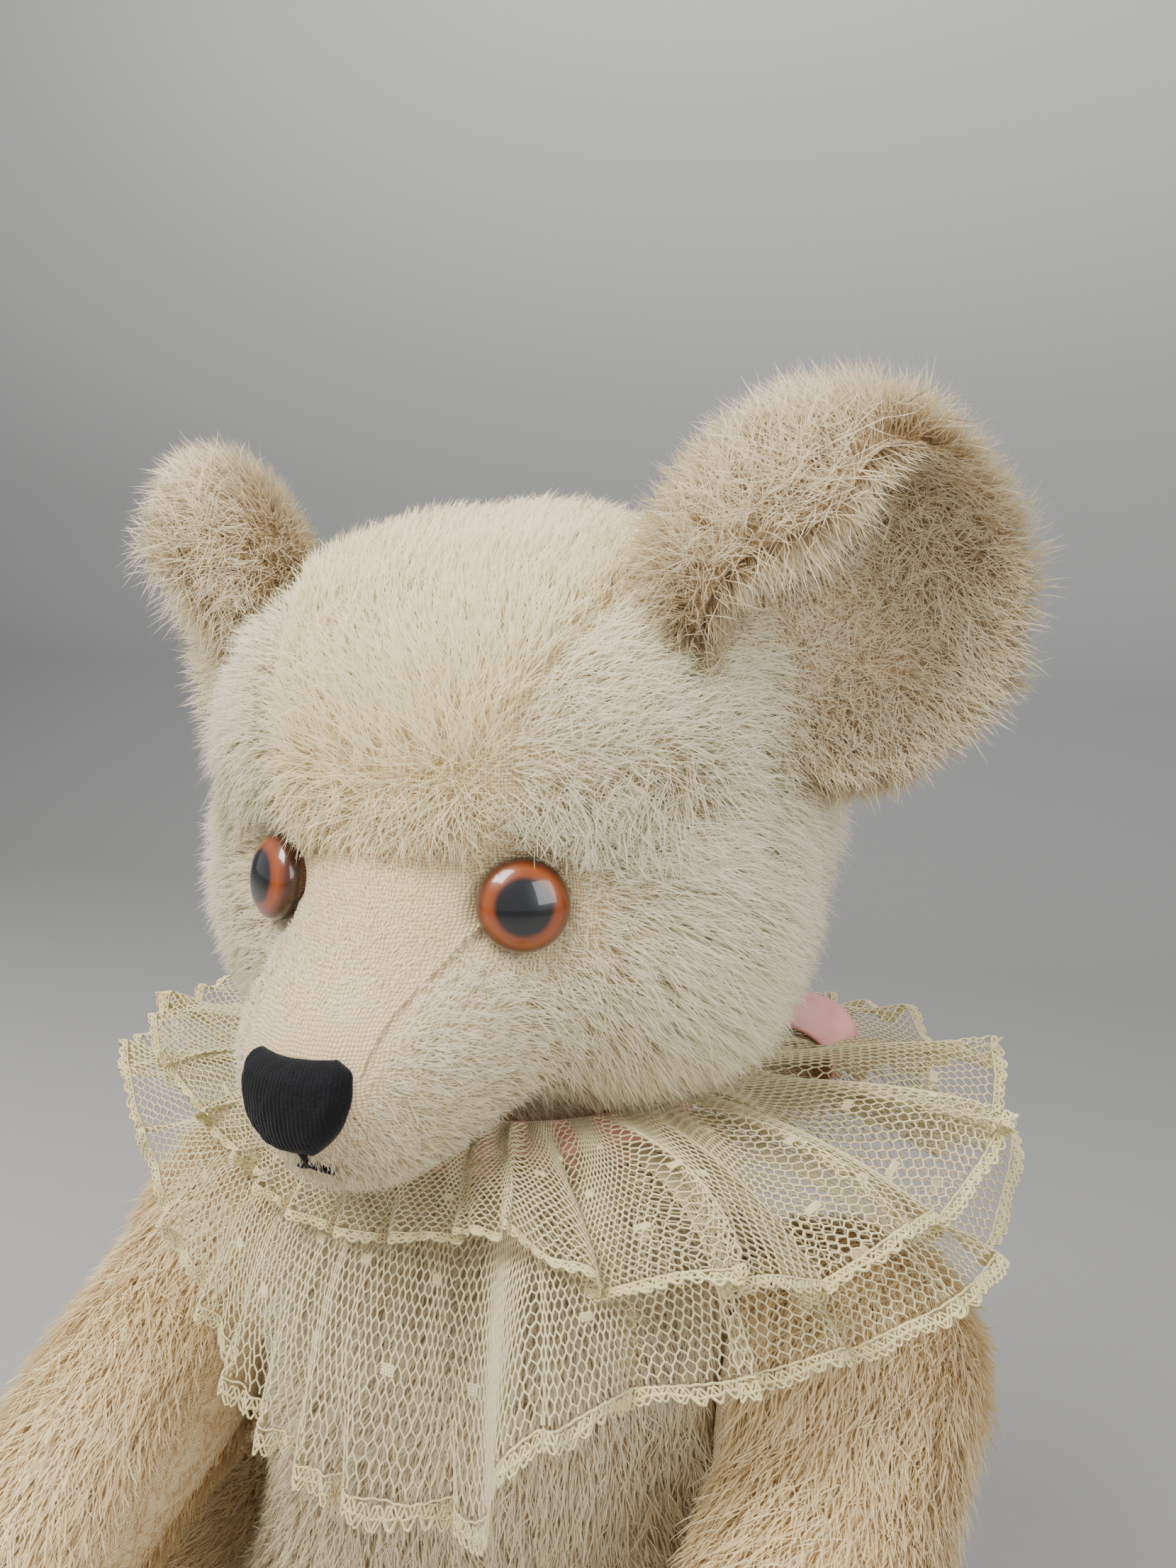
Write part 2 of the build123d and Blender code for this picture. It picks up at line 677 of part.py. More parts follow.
CENTRE_PIECES = {
    "torso_left_skin": torso_left_skin,
    "torso_right_skin": torso_right_skin,
    "torso_stuffing": torso_stuffing,
    "neck_disc_lower": neck_disc_lower,
    "shoulder_discs": shoulder_discs,
    "hip_discs": hip_discs,
    "torso_washers": torso_washers,
    "ruff_upper_lace": ruff_upper_lace,
    "ruff_lower_lace": ruff_lower_lace,
    "neck_ribbon": neck_ribbon,
    "ribbon_bow": ribbon_bow,
    "head_left_side": head_left_side,
    "head_right_side": head_right_side,
    "head_gusset": head_gusset,
    "head_stuffing": head_stuffing,
    "left_ear_front": left_ear_front,
    "left_ear_back": left_ear_back,
    "right_ear_front": right_ear_front,
    "right_ear_back": right_ear_back,
    "left_eye_glass": left_eye_glass,
    "right_eye_glass": right_eye_glass,
    "left_eye_iris": left_eye_iris,
    "right_eye_iris": right_eye_iris,
    "left_eye_loop": left_eye_loop,
    "right_eye_loop": right_eye_loop,
    "nose_stitching": nose_stitching,
    "mouth_stitch": mouth_stitch,
    "head_disc": head_disc,
    "head_washer": head_washer,
    "neck_bolt": neck_bolt,
    "neck_nut": neck_nut,
}

LIMB_PIECES = {
    "arm_skin": left_arm_skin,
    "paw_pad": left_paw_pad,
    "arm_stuffing": left_arm_stuffing,
    "arm_disc": left_arm_disc,
    "arm_washer": left_arm_washer,
    "arm_bolt": left_arm_bolt,
    "arm_nut": left_arm_nut,
    "leg_skin": left_leg_skin,
    "foot_pad": left_foot_pad,
    "leg_stuffing": left_leg_stuffing,
    "leg_disc": left_leg_disc,
    "leg_washer": left_leg_washer,
    "leg_bolt": left_leg_bolt,
    "leg_nut": left_leg_nut,
}

os.makedirs("parts", exist_ok=True)
for name, piece in CENTRE_PIECES.items():
    piece.part.label = name
    export_step(piece.part, f"parts/{name}.step")
for name, piece in LIMB_PIECES.items():
    piece.part.label = f"left_{name}"
    export_step(piece.part, f"parts/left_{name}.step")
    with BuildPart() as twin:
        add(mirrored(piece.part))
    twin.part.label = f"right_{name}"
    export_step(twin.part, f"parts/right_{name}.step")
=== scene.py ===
"""Jointed mohair teddy bear with a net ruff and a satin ribbon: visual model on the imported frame."""

import json
import math

import bpy
import numpy as np
from mathutils import Matrix, Vector

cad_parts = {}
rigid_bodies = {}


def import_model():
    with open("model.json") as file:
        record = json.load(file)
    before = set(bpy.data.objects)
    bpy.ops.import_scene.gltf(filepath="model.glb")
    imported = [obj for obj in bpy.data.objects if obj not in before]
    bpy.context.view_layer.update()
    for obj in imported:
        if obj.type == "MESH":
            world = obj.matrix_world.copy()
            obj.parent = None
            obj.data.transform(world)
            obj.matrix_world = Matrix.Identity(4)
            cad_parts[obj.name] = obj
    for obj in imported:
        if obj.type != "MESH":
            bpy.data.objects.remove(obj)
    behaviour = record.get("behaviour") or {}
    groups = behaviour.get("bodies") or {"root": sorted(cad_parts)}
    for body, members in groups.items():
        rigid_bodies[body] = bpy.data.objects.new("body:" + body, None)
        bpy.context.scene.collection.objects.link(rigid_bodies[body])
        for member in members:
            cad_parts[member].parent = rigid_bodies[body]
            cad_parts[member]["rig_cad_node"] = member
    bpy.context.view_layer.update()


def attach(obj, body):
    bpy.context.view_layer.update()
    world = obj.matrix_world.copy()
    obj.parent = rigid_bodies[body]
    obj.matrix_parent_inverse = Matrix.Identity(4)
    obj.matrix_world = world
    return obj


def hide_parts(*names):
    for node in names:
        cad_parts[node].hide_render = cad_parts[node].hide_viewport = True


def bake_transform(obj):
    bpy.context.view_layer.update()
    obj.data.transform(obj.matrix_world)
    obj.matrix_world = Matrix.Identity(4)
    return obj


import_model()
MM = 0.001


# ---------------------------------------------------------------- vector tools
def unit(v):
    v = np.asarray(v, float)
    return v / np.maximum(np.linalg.norm(v, axis=-1, keepdims=True), 1e-9)


def smoothstep(a, b, x):
    t = np.clip((x - a) / (b - a), 0.0, 1.0)
    return t * t * (3 - 2 * t)


def lerp(a, b, t):
    return a + (b - a) * t


def curve_value(table, x):
    """Smooth value between rows of (x, value...), Catmull-Rom."""
    t = np.array(table, float)
    xs, ys = t[:, 0], t[:, 1:]
    slope = np.gradient(ys, xs, axis=0)
    x = np.clip(np.asarray(x, float), xs[0], xs[-1])
    i = np.clip(np.searchsorted(xs, x) - 1, 0, len(xs) - 2)
    h = (xs[i + 1] - xs[i])[..., None]
    u = ((x - xs[i])[..., None]) / h
    h00, h10 = 2 * u**3 - 3 * u**2 + 1, u**3 - 2 * u**2 + u
    h01, h11 = -2 * u**3 + 3 * u**2, u**3 - u**2
    return h00 * ys[i] + h10 * h * slope[i] + h01 * ys[i + 1] + h11 * h * slope[i + 1]


def wave_noise(p, scale, seed, octaves=3):
    """Smooth repeatable noise from sums of sines, about -1 to 1."""
    r = np.random.default_rng(seed)
    total = np.zeros(p.shape[0])
    amp = 1.0
    for o in range(octaves):
        k = r.normal(size=(4, 3)) * (2.0**o) / scale * 2.2
        phase = r.uniform(0, 2 * np.pi, 4)
        total += amp * np.sin(p @ k.T + phase).sum(1) / 4
        amp *= 0.55
    return total


# ---------------------------------------------------------------- fields
def blob(p, centre, radii, turn=None):
    q = p - np.array(centre, float)
    if turn is not None:
        q = q @ turn
    r = np.array(radii, float)
    k0 = np.linalg.norm(q / r, axis=-1)
    k1 = np.linalg.norm(q / (r * r), axis=-1)
    return k0 * (k0 - 1.0) / np.maximum(k1, 1e-9)


def join(a, b, k):
    h = np.clip(0.5 + 0.5 * (b - a) / k, 0, 1)
    return lerp(b, a, h) - k * h * (1 - h)


def carve(a, b, k):
    return -join(-a, b, k)


def to_left(p):
    """Points moved to the bear's left side, where each pair is drawn."""
    q = p.copy()
    q[:, 0] = np.abs(q[:, 0])
    return q


def gradient(field, p, e=0.15):
    g = np.stack([field(p + d) - field(p - d) for d in np.eye(3) * e], -1)
    return unit(g)


CAST_SLICES = 56
CAST_HALVINGS = 24


def cast(field, origin, direction, far=140.0):
    """Surface point met first along each direction from an inside origin."""
    lo, hi = np.zeros(len(origin)), np.full(len(origin), far)
    ts = np.linspace(0, far, CAST_SLICES)
    inside = np.ones(len(origin), bool)
    for a, b in zip(ts[:-1], ts[1:]):
        v = field(origin + direction * b)
        hit = inside & (v > 0)
        lo[hit], hi[hit] = a, b
        inside &= ~hit
    for _ in range(CAST_HALVINGS):
        mid = (lo + hi) / 2
        v = field(origin + direction * mid[:, None])
        out = v > 0
        hi = np.where(out, mid, hi)
        lo = np.where(out, lo, mid)
    return origin + direction * ((lo + hi) / 2)[:, None]


def ring_faces(rings, segs, flip=False):
    """Quads of a grid whose rows are closed rings."""
    idx = np.arange(rings * segs).reshape(rings, segs)
    a, b = idx[:-1], idx[1:]
    q = np.stack([a, np.roll(a, -1, 1), np.roll(b, -1, 1), b], -1).reshape(-1, 4)
    return q[:, ::-1] if flip else q


def capsule_grid(start, end, across, rings, segs):
    """Ray origins and directions round an axis, closed at both ends."""
    start, end = np.array(start, float), np.array(end, float)
    axis = unit(end - start)
    e1 = unit(np.array(across, float) - np.dot(across, axis) * axis)
    e2 = np.cross(axis, e1)
    v = np.linspace(0, 1, rings)
    share = 0.22
    along = np.clip((v - share) / (1 - 2 * share), 0, 1)
    polar = np.where(
        v < share, np.pi * (1 - v / share / 2), np.where(v > 1 - share, np.pi / 2 * (1 - v) / share, np.pi / 2)
    )
    th = np.linspace(0, 2 * np.pi, segs, endpoint=False)
    origin = start + (end - start) * along[:, None, None] * np.ones((1, segs, 1))
    ring = np.cos(th)[:, None] * e1 + np.sin(th)[:, None] * e2
    direction = np.cos(polar)[:, None, None] * axis + np.sin(polar)[:, None, None] * ring[None]
    return origin.reshape(-1, 3), direction.reshape(-1, 3), ring_faces(rings, segs)


# ---------------------------------------------------------------- mesh making
def linked(name, data):
    """New object in the scene."""
    ob = bpy.data.objects.new(name, data)
    bpy.context.scene.collection.objects.link(ob)
    return ob


def new_mesh(name, verts, faces):
    """Object from an array of mm vertices and same-sized faces (or a list of arrays)."""
    me = bpy.data.meshes.new(name)
    groups = faces if isinstance(faces, list) else [faces]
    me.vertices.add(len(verts))
    me.vertices.foreach_set("co", (np.asarray(verts, np.float32) * MM).ravel())
    loops = np.concatenate([g.ravel() for g in groups]).astype(np.int32)
    sizes = np.concatenate([np.full(len(g), g.shape[1]) for g in groups]).astype(np.int32)
    me.loops.add(len(loops))
    me.loops.foreach_set("vertex_index", loops)
    me.polygons.add(len(sizes))
    starts = np.concatenate([[0], np.cumsum(sizes)[:-1]]).astype(np.int32)
    me.polygons.foreach_set("loop_start", starts)
    me.update(calc_edges=True)
    me.validate()
    me.polygons.foreach_set("use_smooth", np.ones(len(me.polygons), bool))
    return linked(name, me)


def merged_caps(verts, quads, tol=1e-3):
    """Welds the collapsed rings at the ends of a capsule grid."""
    key = np.round(verts / tol).astype(np.int64)
    _, first, inverse = np.unique(key, axis=0, return_index=True, return_inverse=True)
    inverse = inverse.reshape(-1)
    q = inverse[quads]
    good = np.array([len(set(f)) == 4 for f in q.tolist()])
    tri = []
    for f in q[~good].tolist():
        g = list(dict.fromkeys(f))
        if len(g) == 3:
            tri.append(g)
    groups = [q[good]]
    if tri:
        groups.append(np.array(tri))
    return verts[first], groups


def triangles(groups):
    out = []
    for g in groups:
        out.append(g[:, :3])
        if g.shape[1] == 4:
            out.append(g[:, [0, 2, 3]])
    return np.concatenate(out)


def tube_net(a, b, radius, sides=3):
    """Open straight threads between point pairs, one prism each."""
    d = unit(b - a)
    ref = np.tile(np.array([0.31, 0.87, 0.38]), (len(a), 1))
    e1 = unit(np.cross(d, ref))
    e2 = np.cross(d, e1)
    th = np.linspace(0, 2 * np.pi, sides, endpoint=False)
    ring = np.cos(th)[None, :, None] * e1[:, None] + np.sin(th)[None, :, None] * e2[:, None]
    verts = np.concatenate([a[:, None] + ring * radius, b[:, None] + ring * radius], 1)
    base = (np.arange(len(a)) * 2 * sides)[:, None]
    k = np.arange(sides)
    quads = np.stack([base + k, base + (k + 1) % sides, base + sides + (k + 1) % sides, base + sides + k], -1)
    return verts.reshape(-1, 3), quads.reshape(-1, 4)


def rope(path, radius, sides=8):
    """Round open thread along a path of mm points."""
    t = unit(np.gradient(path, axis=0))
    e1 = unit(np.cross(t, np.array([0.2, 0.3, 0.93])))
    e2 = np.cross(t, e1)
    th = np.linspace(0, 2 * np.pi, sides, endpoint=False)
    v = path[:, None] + radius * (np.cos(th)[None, :, None] * e1[:, None] + np.sin(th)[None, :, None] * e2[:, None])
    return v.reshape(-1, 3), ring_faces(len(path), sides)


# ---------------------------------------------------------------- materials
class Nodes:
    """Short way to write a node material."""

    def __init__(self, name):
        self.mat = bpy.data.materials.new(name)
        self.mat.use_nodes = True
        self.t = self.mat.node_tree
        self.bsdf = self.t.nodes["Principled BSDF"]

    def add(self, kind, **values):
        n = self.t.nodes.new(kind)
        for k, v in values.items():
            if k in n.inputs:
                n.inputs[k].default_value = v
            else:
                setattr(n, k, v)
        return n

    def link(self, a, b):
        self.t.links.new(a, b)

    def put(self, **values):
        for k, v in values.items():
            self.bsdf.inputs[k.replace("_", " ")].default_value = v

    def ramp(self, source, stops):
        r = self.add("ShaderNodeValToRGB")
        el = r.color_ramp.elements
        while len(el) < len(stops):
            el.new(0.5)
        for e, (pos, col) in zip(el, stops):
            e.position = pos
            e.color = (*col, 1.0)
        self.link(source, r.inputs["Fac"])
        return r.outputs["Color"]

    def coords(self, scale=1000.0):
        c = self.add("ShaderNodeTexCoord")
        m = self.add("ShaderNodeMapping")
        m.inputs["Scale"].default_value = (scale, scale, scale)
        self.link(c.outputs["Object"], m.inputs["Vector"])
        return m.outputs["Vector"]

    def mix(self, a, b, fac, mode="MIX"):
        m = self.add("ShaderNodeMix", data_type="RGBA", blend_type=mode)
        for socket, value in ((m.inputs["Factor"], fac), (m.inputs["A"], a), (m.inputs["B"], b)):
            if hasattr(value, "links"):
                self.link(value, socket)
            elif isinstance(value, (int, float)):
                socket.default_value = value
            else:
                socket.default_value = (*value, 1.0)
        return m.outputs["Result"]

    def noise(self, vector, scale, detail):
        n = self.add("ShaderNodeTexNoise", Scale=scale, Detail=detail)
        self.link(vector, n.inputs["Vector"])
        return n

    def paint(self, colour):
        self.link(colour, self.bsdf.inputs["Base Color"])

    def bump(self, height, strength, distance):
        b = self.add("ShaderNodeBump")
        b.inputs["Strength"].default_value = strength
        b.inputs["Distance"].default_value = distance
        self.link(height, b.inputs["Height"])
        self.link(b.outputs["Normal"], self.bsdf.inputs["Normal"])


def fur_material(name, root, mid, tip, shade):
    """Mohair fibre: colour runs from root to tip, and each lock has its own tone."""
    m = Nodes(name)
    uv = m.add("ShaderNodeUVMap", uv_map="OFBake")
    sep = m.add("ShaderNodeSeparateXYZ")
    m.link(uv.outputs["UV"], sep.inputs["Vector"])
    along = m.ramp(sep.outputs["Y"], [(0.0, root), (0.35, mid), (1.0, tip)])
    tone = m.ramp(sep.outputs["X"], [(0.0, shade), (0.35, (1, 1, 1)), (1.0, (1, 1, 1))])
    colour = m.mix(along, tone, 0.8, "MULTIPLY")
    m.paint(colour)
    m.put(Roughness=0.42, Specular_IOR_Level=0.35, Sheen_Weight=0.25, Sheen_Roughness=0.4)
    m.bsdf.inputs["Sheen Tint"].default_value = (1, 0.98, 0.93, 1)
    out = m.t.nodes["Material Output"]
    trans = m.add("ShaderNodeBsdfTranslucent")
    m.link(colour, trans.inputs["Color"])
    mixer = m.add("ShaderNodeMixShader")
    mixer.inputs[0].default_value = 0.28
    m.link(m.bsdf.outputs[0], mixer.inputs[1])
    m.link(trans.outputs[0], mixer.inputs[2])
    m.link(mixer.outputs[0], out.inputs["Surface"])
    return m.mat


def weave_material(name, light, dark, pitch=0.42):
    """Open cotton backing cloth that shows where the pile is short."""
    m = Nodes(name)
    v = m.coords()
    warp = m.noise(v, 0.35, 2.0)
    wobble = m.add("ShaderNodeVectorMath", operation="MULTIPLY_ADD")
    m.link(warp.outputs["Color"], wobble.inputs[0])
    wobble.inputs[1].default_value = (1.2, 1.2, 1.2)
    m.link(v, wobble.inputs[2])
    waves = []
    for axis in ("X", "Z"):
        w = m.add("ShaderNodeTexWave", wave_type="BANDS", bands_direction=axis, Scale=0.314 / pitch)
        w.inputs["Distortion"].default_value = 0.6
        m.link(wobble.outputs[0], w.inputs["Vector"])
        waves.append(w.outputs["Fac"])
    cross = m.add("ShaderNodeMath", operation="MULTIPLY")
    m.link(waves[0], cross.inputs[0])
    m.link(waves[1], cross.inputs[1])
    blot = m.noise(v, 0.12, 3.0)
    base = m.ramp(cross.outputs[0], [(0.0, dark), (0.35, light), (1.0, light)])
    tint = m.ramp(blot.outputs["Fac"], [(0.35, (0.93, 0.9, 0.84)), (0.65, (1, 1, 1))])
    m.paint(m.mix(base, tint, 0.7, "MULTIPLY"))
    m.put(Roughness=0.85, Sheen_Weight=0.3, Sheen_Roughness=0.6)
    m.bump(cross.outputs[0], 0.5, 0.0003)
    return m.mat


def mottled(name, dark, light, patches, grain=None, stops=(0.3, 0.7), bump=(0.5, 0.0002), **look):
    """Two tones in soft patches. patches and grain are (scale, detail), and grain is what the bump follows."""
    m = Nodes(name)
    v = m.coords()
    n = m.noise(v, *patches)
    fine = m.noise(v, *grain) if grain else n
    m.paint(m.ramp(n.outputs["Fac"], [(stops[0], dark), (stops[1], light)]))
    m.put(**look)
    m.bump(fine.outputs["Fac"], *bump)
    return m.mat


# ---------------------------------------------------------------- head frame
HEAD_MIDDLE = np.array([0.0, 2.0, 171.0])
HEAD_TILT = math.radians(12.0)
TILT = np.array([
    [1, 0, 0],
    [0, math.cos(HEAD_TILT), -math.sin(HEAD_TILT)],
    [0, math.sin(HEAD_TILT), math.cos(HEAD_TILT)],
])


def tilt(p):
    """Upright head frame to the bear's frame."""
    return (np.asarray(p, float) - HEAD_MIDDLE) @ TILT.T + HEAD_MIDDLE


def untilt(p):
    return (np.asarray(p, float) - HEAD_MIDDLE) @ TILT + HEAD_MIDDLE


EYE = np.array([17.5, -33.5, 172.5])
EYE_NORMAL = unit([0.50, -0.80, 0.33])
EYE_R = 5.5


def upright_head(p):
    q = to_left(p)
    d = blob(q, (0, 4, 171), (40.0, 40.5, 38.0))
    d = join(d, blob(q, (12, -4, 186), (22, 25, 20)), 9)
    d = join(d, blob(q, (19, -9, 158), (20.5, 22, 20)), 9)
    d = join(d, blob(q, (0, -31, 157), (17.5, 28.5, 14.5)), 8)
    d = join(d, blob(q, (0, -28, 166), (12, 17, 11)), 6)
    d = join(d, blob(q, (0, -41, 150), (10.5, 14, 8)), 6)
    socket = blob(q, tuple(EYE + EYE_NORMAL * 4.5), (7.0, 7.0, 7.0))
    return carve(d, socket, 3.0)


def head_field(p):
    d = upright_head(untilt(p))
    plug = np.maximum(np.hypot(p[:, 0], p[:, 1]) - 20.5, 130.6 - p[:, 2])
    plug = np.maximum(plug, p[:, 2] - 165)
    return join(d, plug, 3.0)


def seam_x(y):
    """Half width of the forehead gusset along the upright head."""
    table = [
        (-64, 6.5), (-56, 7.5), (-46, 9.5), (-37, 12.5), (-26, 17.5), (-12, 23.0), (4, 25.5), (20, 21.0), (34, 14.0),
        (50, 9.0),
    ]
    return curve_value(table, y)[:, 0]


def gusset_side(p):
    """Negative on the gusset, positive on the cheeks, in the upright frame."""
    q = untilt(p)
    low = np.where(q[:, 1] < 10, 160.5 + 0.10 * (q[:, 1] + 60), 120.0)
    side = np.abs(q[:, 0]) - seam_x(q[:, 1])
    return np.where(q[:, 2] > low, side, 5.0)


# ---------------------------------------------------------------- body fields
def smooth_max(a, b, k):
    return -join(-a, -b, k)


SHOULDER_Z, HIP_Z = 94.0, 27.0


def from_shoulder(p):
    """Distance from the line through both shoulder bolts."""
    return np.hypot(p[:, 1], p[:, 2] - SHOULDER_Z)


def from_hip(p):
    """Distance from the line through both hip bolts."""
    return np.hypot(p[:, 1], p[:, 2] - HIP_Z)


def torso_field(p):
    q = to_left(p)
    d = blob(q, (0, 0, 36), (46, 41, 42))
    d = join(d, blob(q, (0, 0, 78), (38, 34, 46)), 12)
    d = join(d, blob(q, (0, 0, 108), (27, 24, 27)), 8)
    boss = np.maximum(q[:, 0] - 35.8, from_shoulder(q) - 17.5)
    d = join(d, boss, 4)
    hip = np.maximum(39.85 - q[:, 0], from_hip(q) - 30)
    d = smooth_max(d, -hip, 2.0)
    shoulder = np.maximum(35.85 - q[:, 0], from_shoulder(q) - 26)
    d = smooth_max(d, -shoulder, 2.0)
    d = smooth_max(d, 0.3 - q[:, 2], 5.0)
    return smooth_max(d, q[:, 2] - 129.6, 1.5)


ARM_ROOT = np.array([51.0, 0.0, SHOULDER_Z])
ARM_DROOP = math.radians(26)
ARM_ALONG = np.array([0, -math.cos(ARM_DROOP), -math.sin(ARM_DROOP)])
ARM_UP = np.array([0, -math.sin(ARM_DROOP), math.cos(ARM_DROOP)])
ARM_TURN = np.stack([[1.0, 0, 0], ARM_UP, ARM_ALONG], 1)


def arm_point(x, up, along):
    return ARM_ROOT + np.array([x, 0, 0]) + ARM_UP * up + ARM_ALONG * along


def arm_field(p):
    d = blob(p, arm_point(0, 0, 0), (15.0, 18.5, 20.0), ARM_TURN)
    d = join(d, blob(p, arm_point(0, -0.5, 26), (14.6, 15.5, 34), ARM_TURN), 6)
    d = join(d, blob(p, arm_point(0, -1.5, 58), (13.4, 12.8, 32), ARM_TURN), 6)
    d = join(d, blob(p, arm_point(0, 1.0, 83), (13.6, 12.8, 18.5), ARM_TURN), 5)
    boss = np.maximum(np.abs(p[:, 0] - 44) - 7.8, from_shoulder(p) - 17.0)
    return smooth_max(join(d, boss, 5), 36.2 - p[:, 0], 1.0)


LEG_X = 58.5


def leg_field(p):
    d = blob(p, (LEG_X, 1, 27), (18.3, 26, 26))
    d = join(d, blob(p, (LEG_X, -28, 25.5), (18.3, 36, 24.5)), 8)
    d = join(d, blob(p, (LEG_X, -66, 20), (16.0, 32, 18.2)), 8)
    d = join(d, blob(p, (LEG_X, -101, 22), (15.8, 17, 20)), 6)
    d = join(d, blob(p, (LEG_X, -109, 34), (17.2, 13, 27)), 5)
    boss = np.maximum(np.abs(p[:, 0] - 48) - 7.8, from_hip(p) - 22.0)
    d = smooth_max(join(d, boss, 5), 40.2 - p[:, 0], 1.0)
    d = smooth_max(d, 0.3 - p[:, 2], 3.0)
    return smooth_max(d, -121.0 - p[:, 1], 2.0)


def skin_of(field, start, end, across, rings, segs):
    """Closed surface of a field: vertices, faces, triangles and normals."""
    origin, direction, quads = capsule_grid(start, end, across, rings, segs)
    verts, groups = merged_caps(cast(field, origin, direction), quads)
    tris = triangles(groups)
    normals = gradient(field, verts)
    return verts, groups, tris, normals


# ---------------------------------------------------------------- pile
FIBRE_LEVELS = (0.0, 0.38, 0.72)
PILE_CHUNK = 30000


def clump_centres(p, cell, seed):
    """Nearest jittered lattice point, which gathers neighbouring fibres into a lock."""
    base = np.floor(p / cell)
    best, where = np.full(len(p), 1e9), np.zeros_like(p)
    tone = np.zeros(len(p))
    for dx in (-1, 0, 1):
        for dy in (-1, 0, 1):
            for dz in (-1, 0, 1):
                c = base + np.array([dx, dy, dz])
                h = np.sin(c @ np.array([127.1, 311.7, 74.7]) + seed) * 43758.5453
                h2 = np.sin(c @ np.array([269.5, 183.3, 246.1]) + seed) * 23421.631
                h3 = np.sin(c @ np.array([113.5, 271.9, 124.6]) + seed) * 14375.964
                jit = np.stack([h - np.floor(h), h2 - np.floor(h2), h3 - np.floor(h3)], 1)
                q = (c + jit) * cell
                d = ((q - p) ** 2).sum(1)
                near = d < best
                best[near], where[near] = d[near], q[near]
                tone[near] = jit[near, 0]
    return where, tone


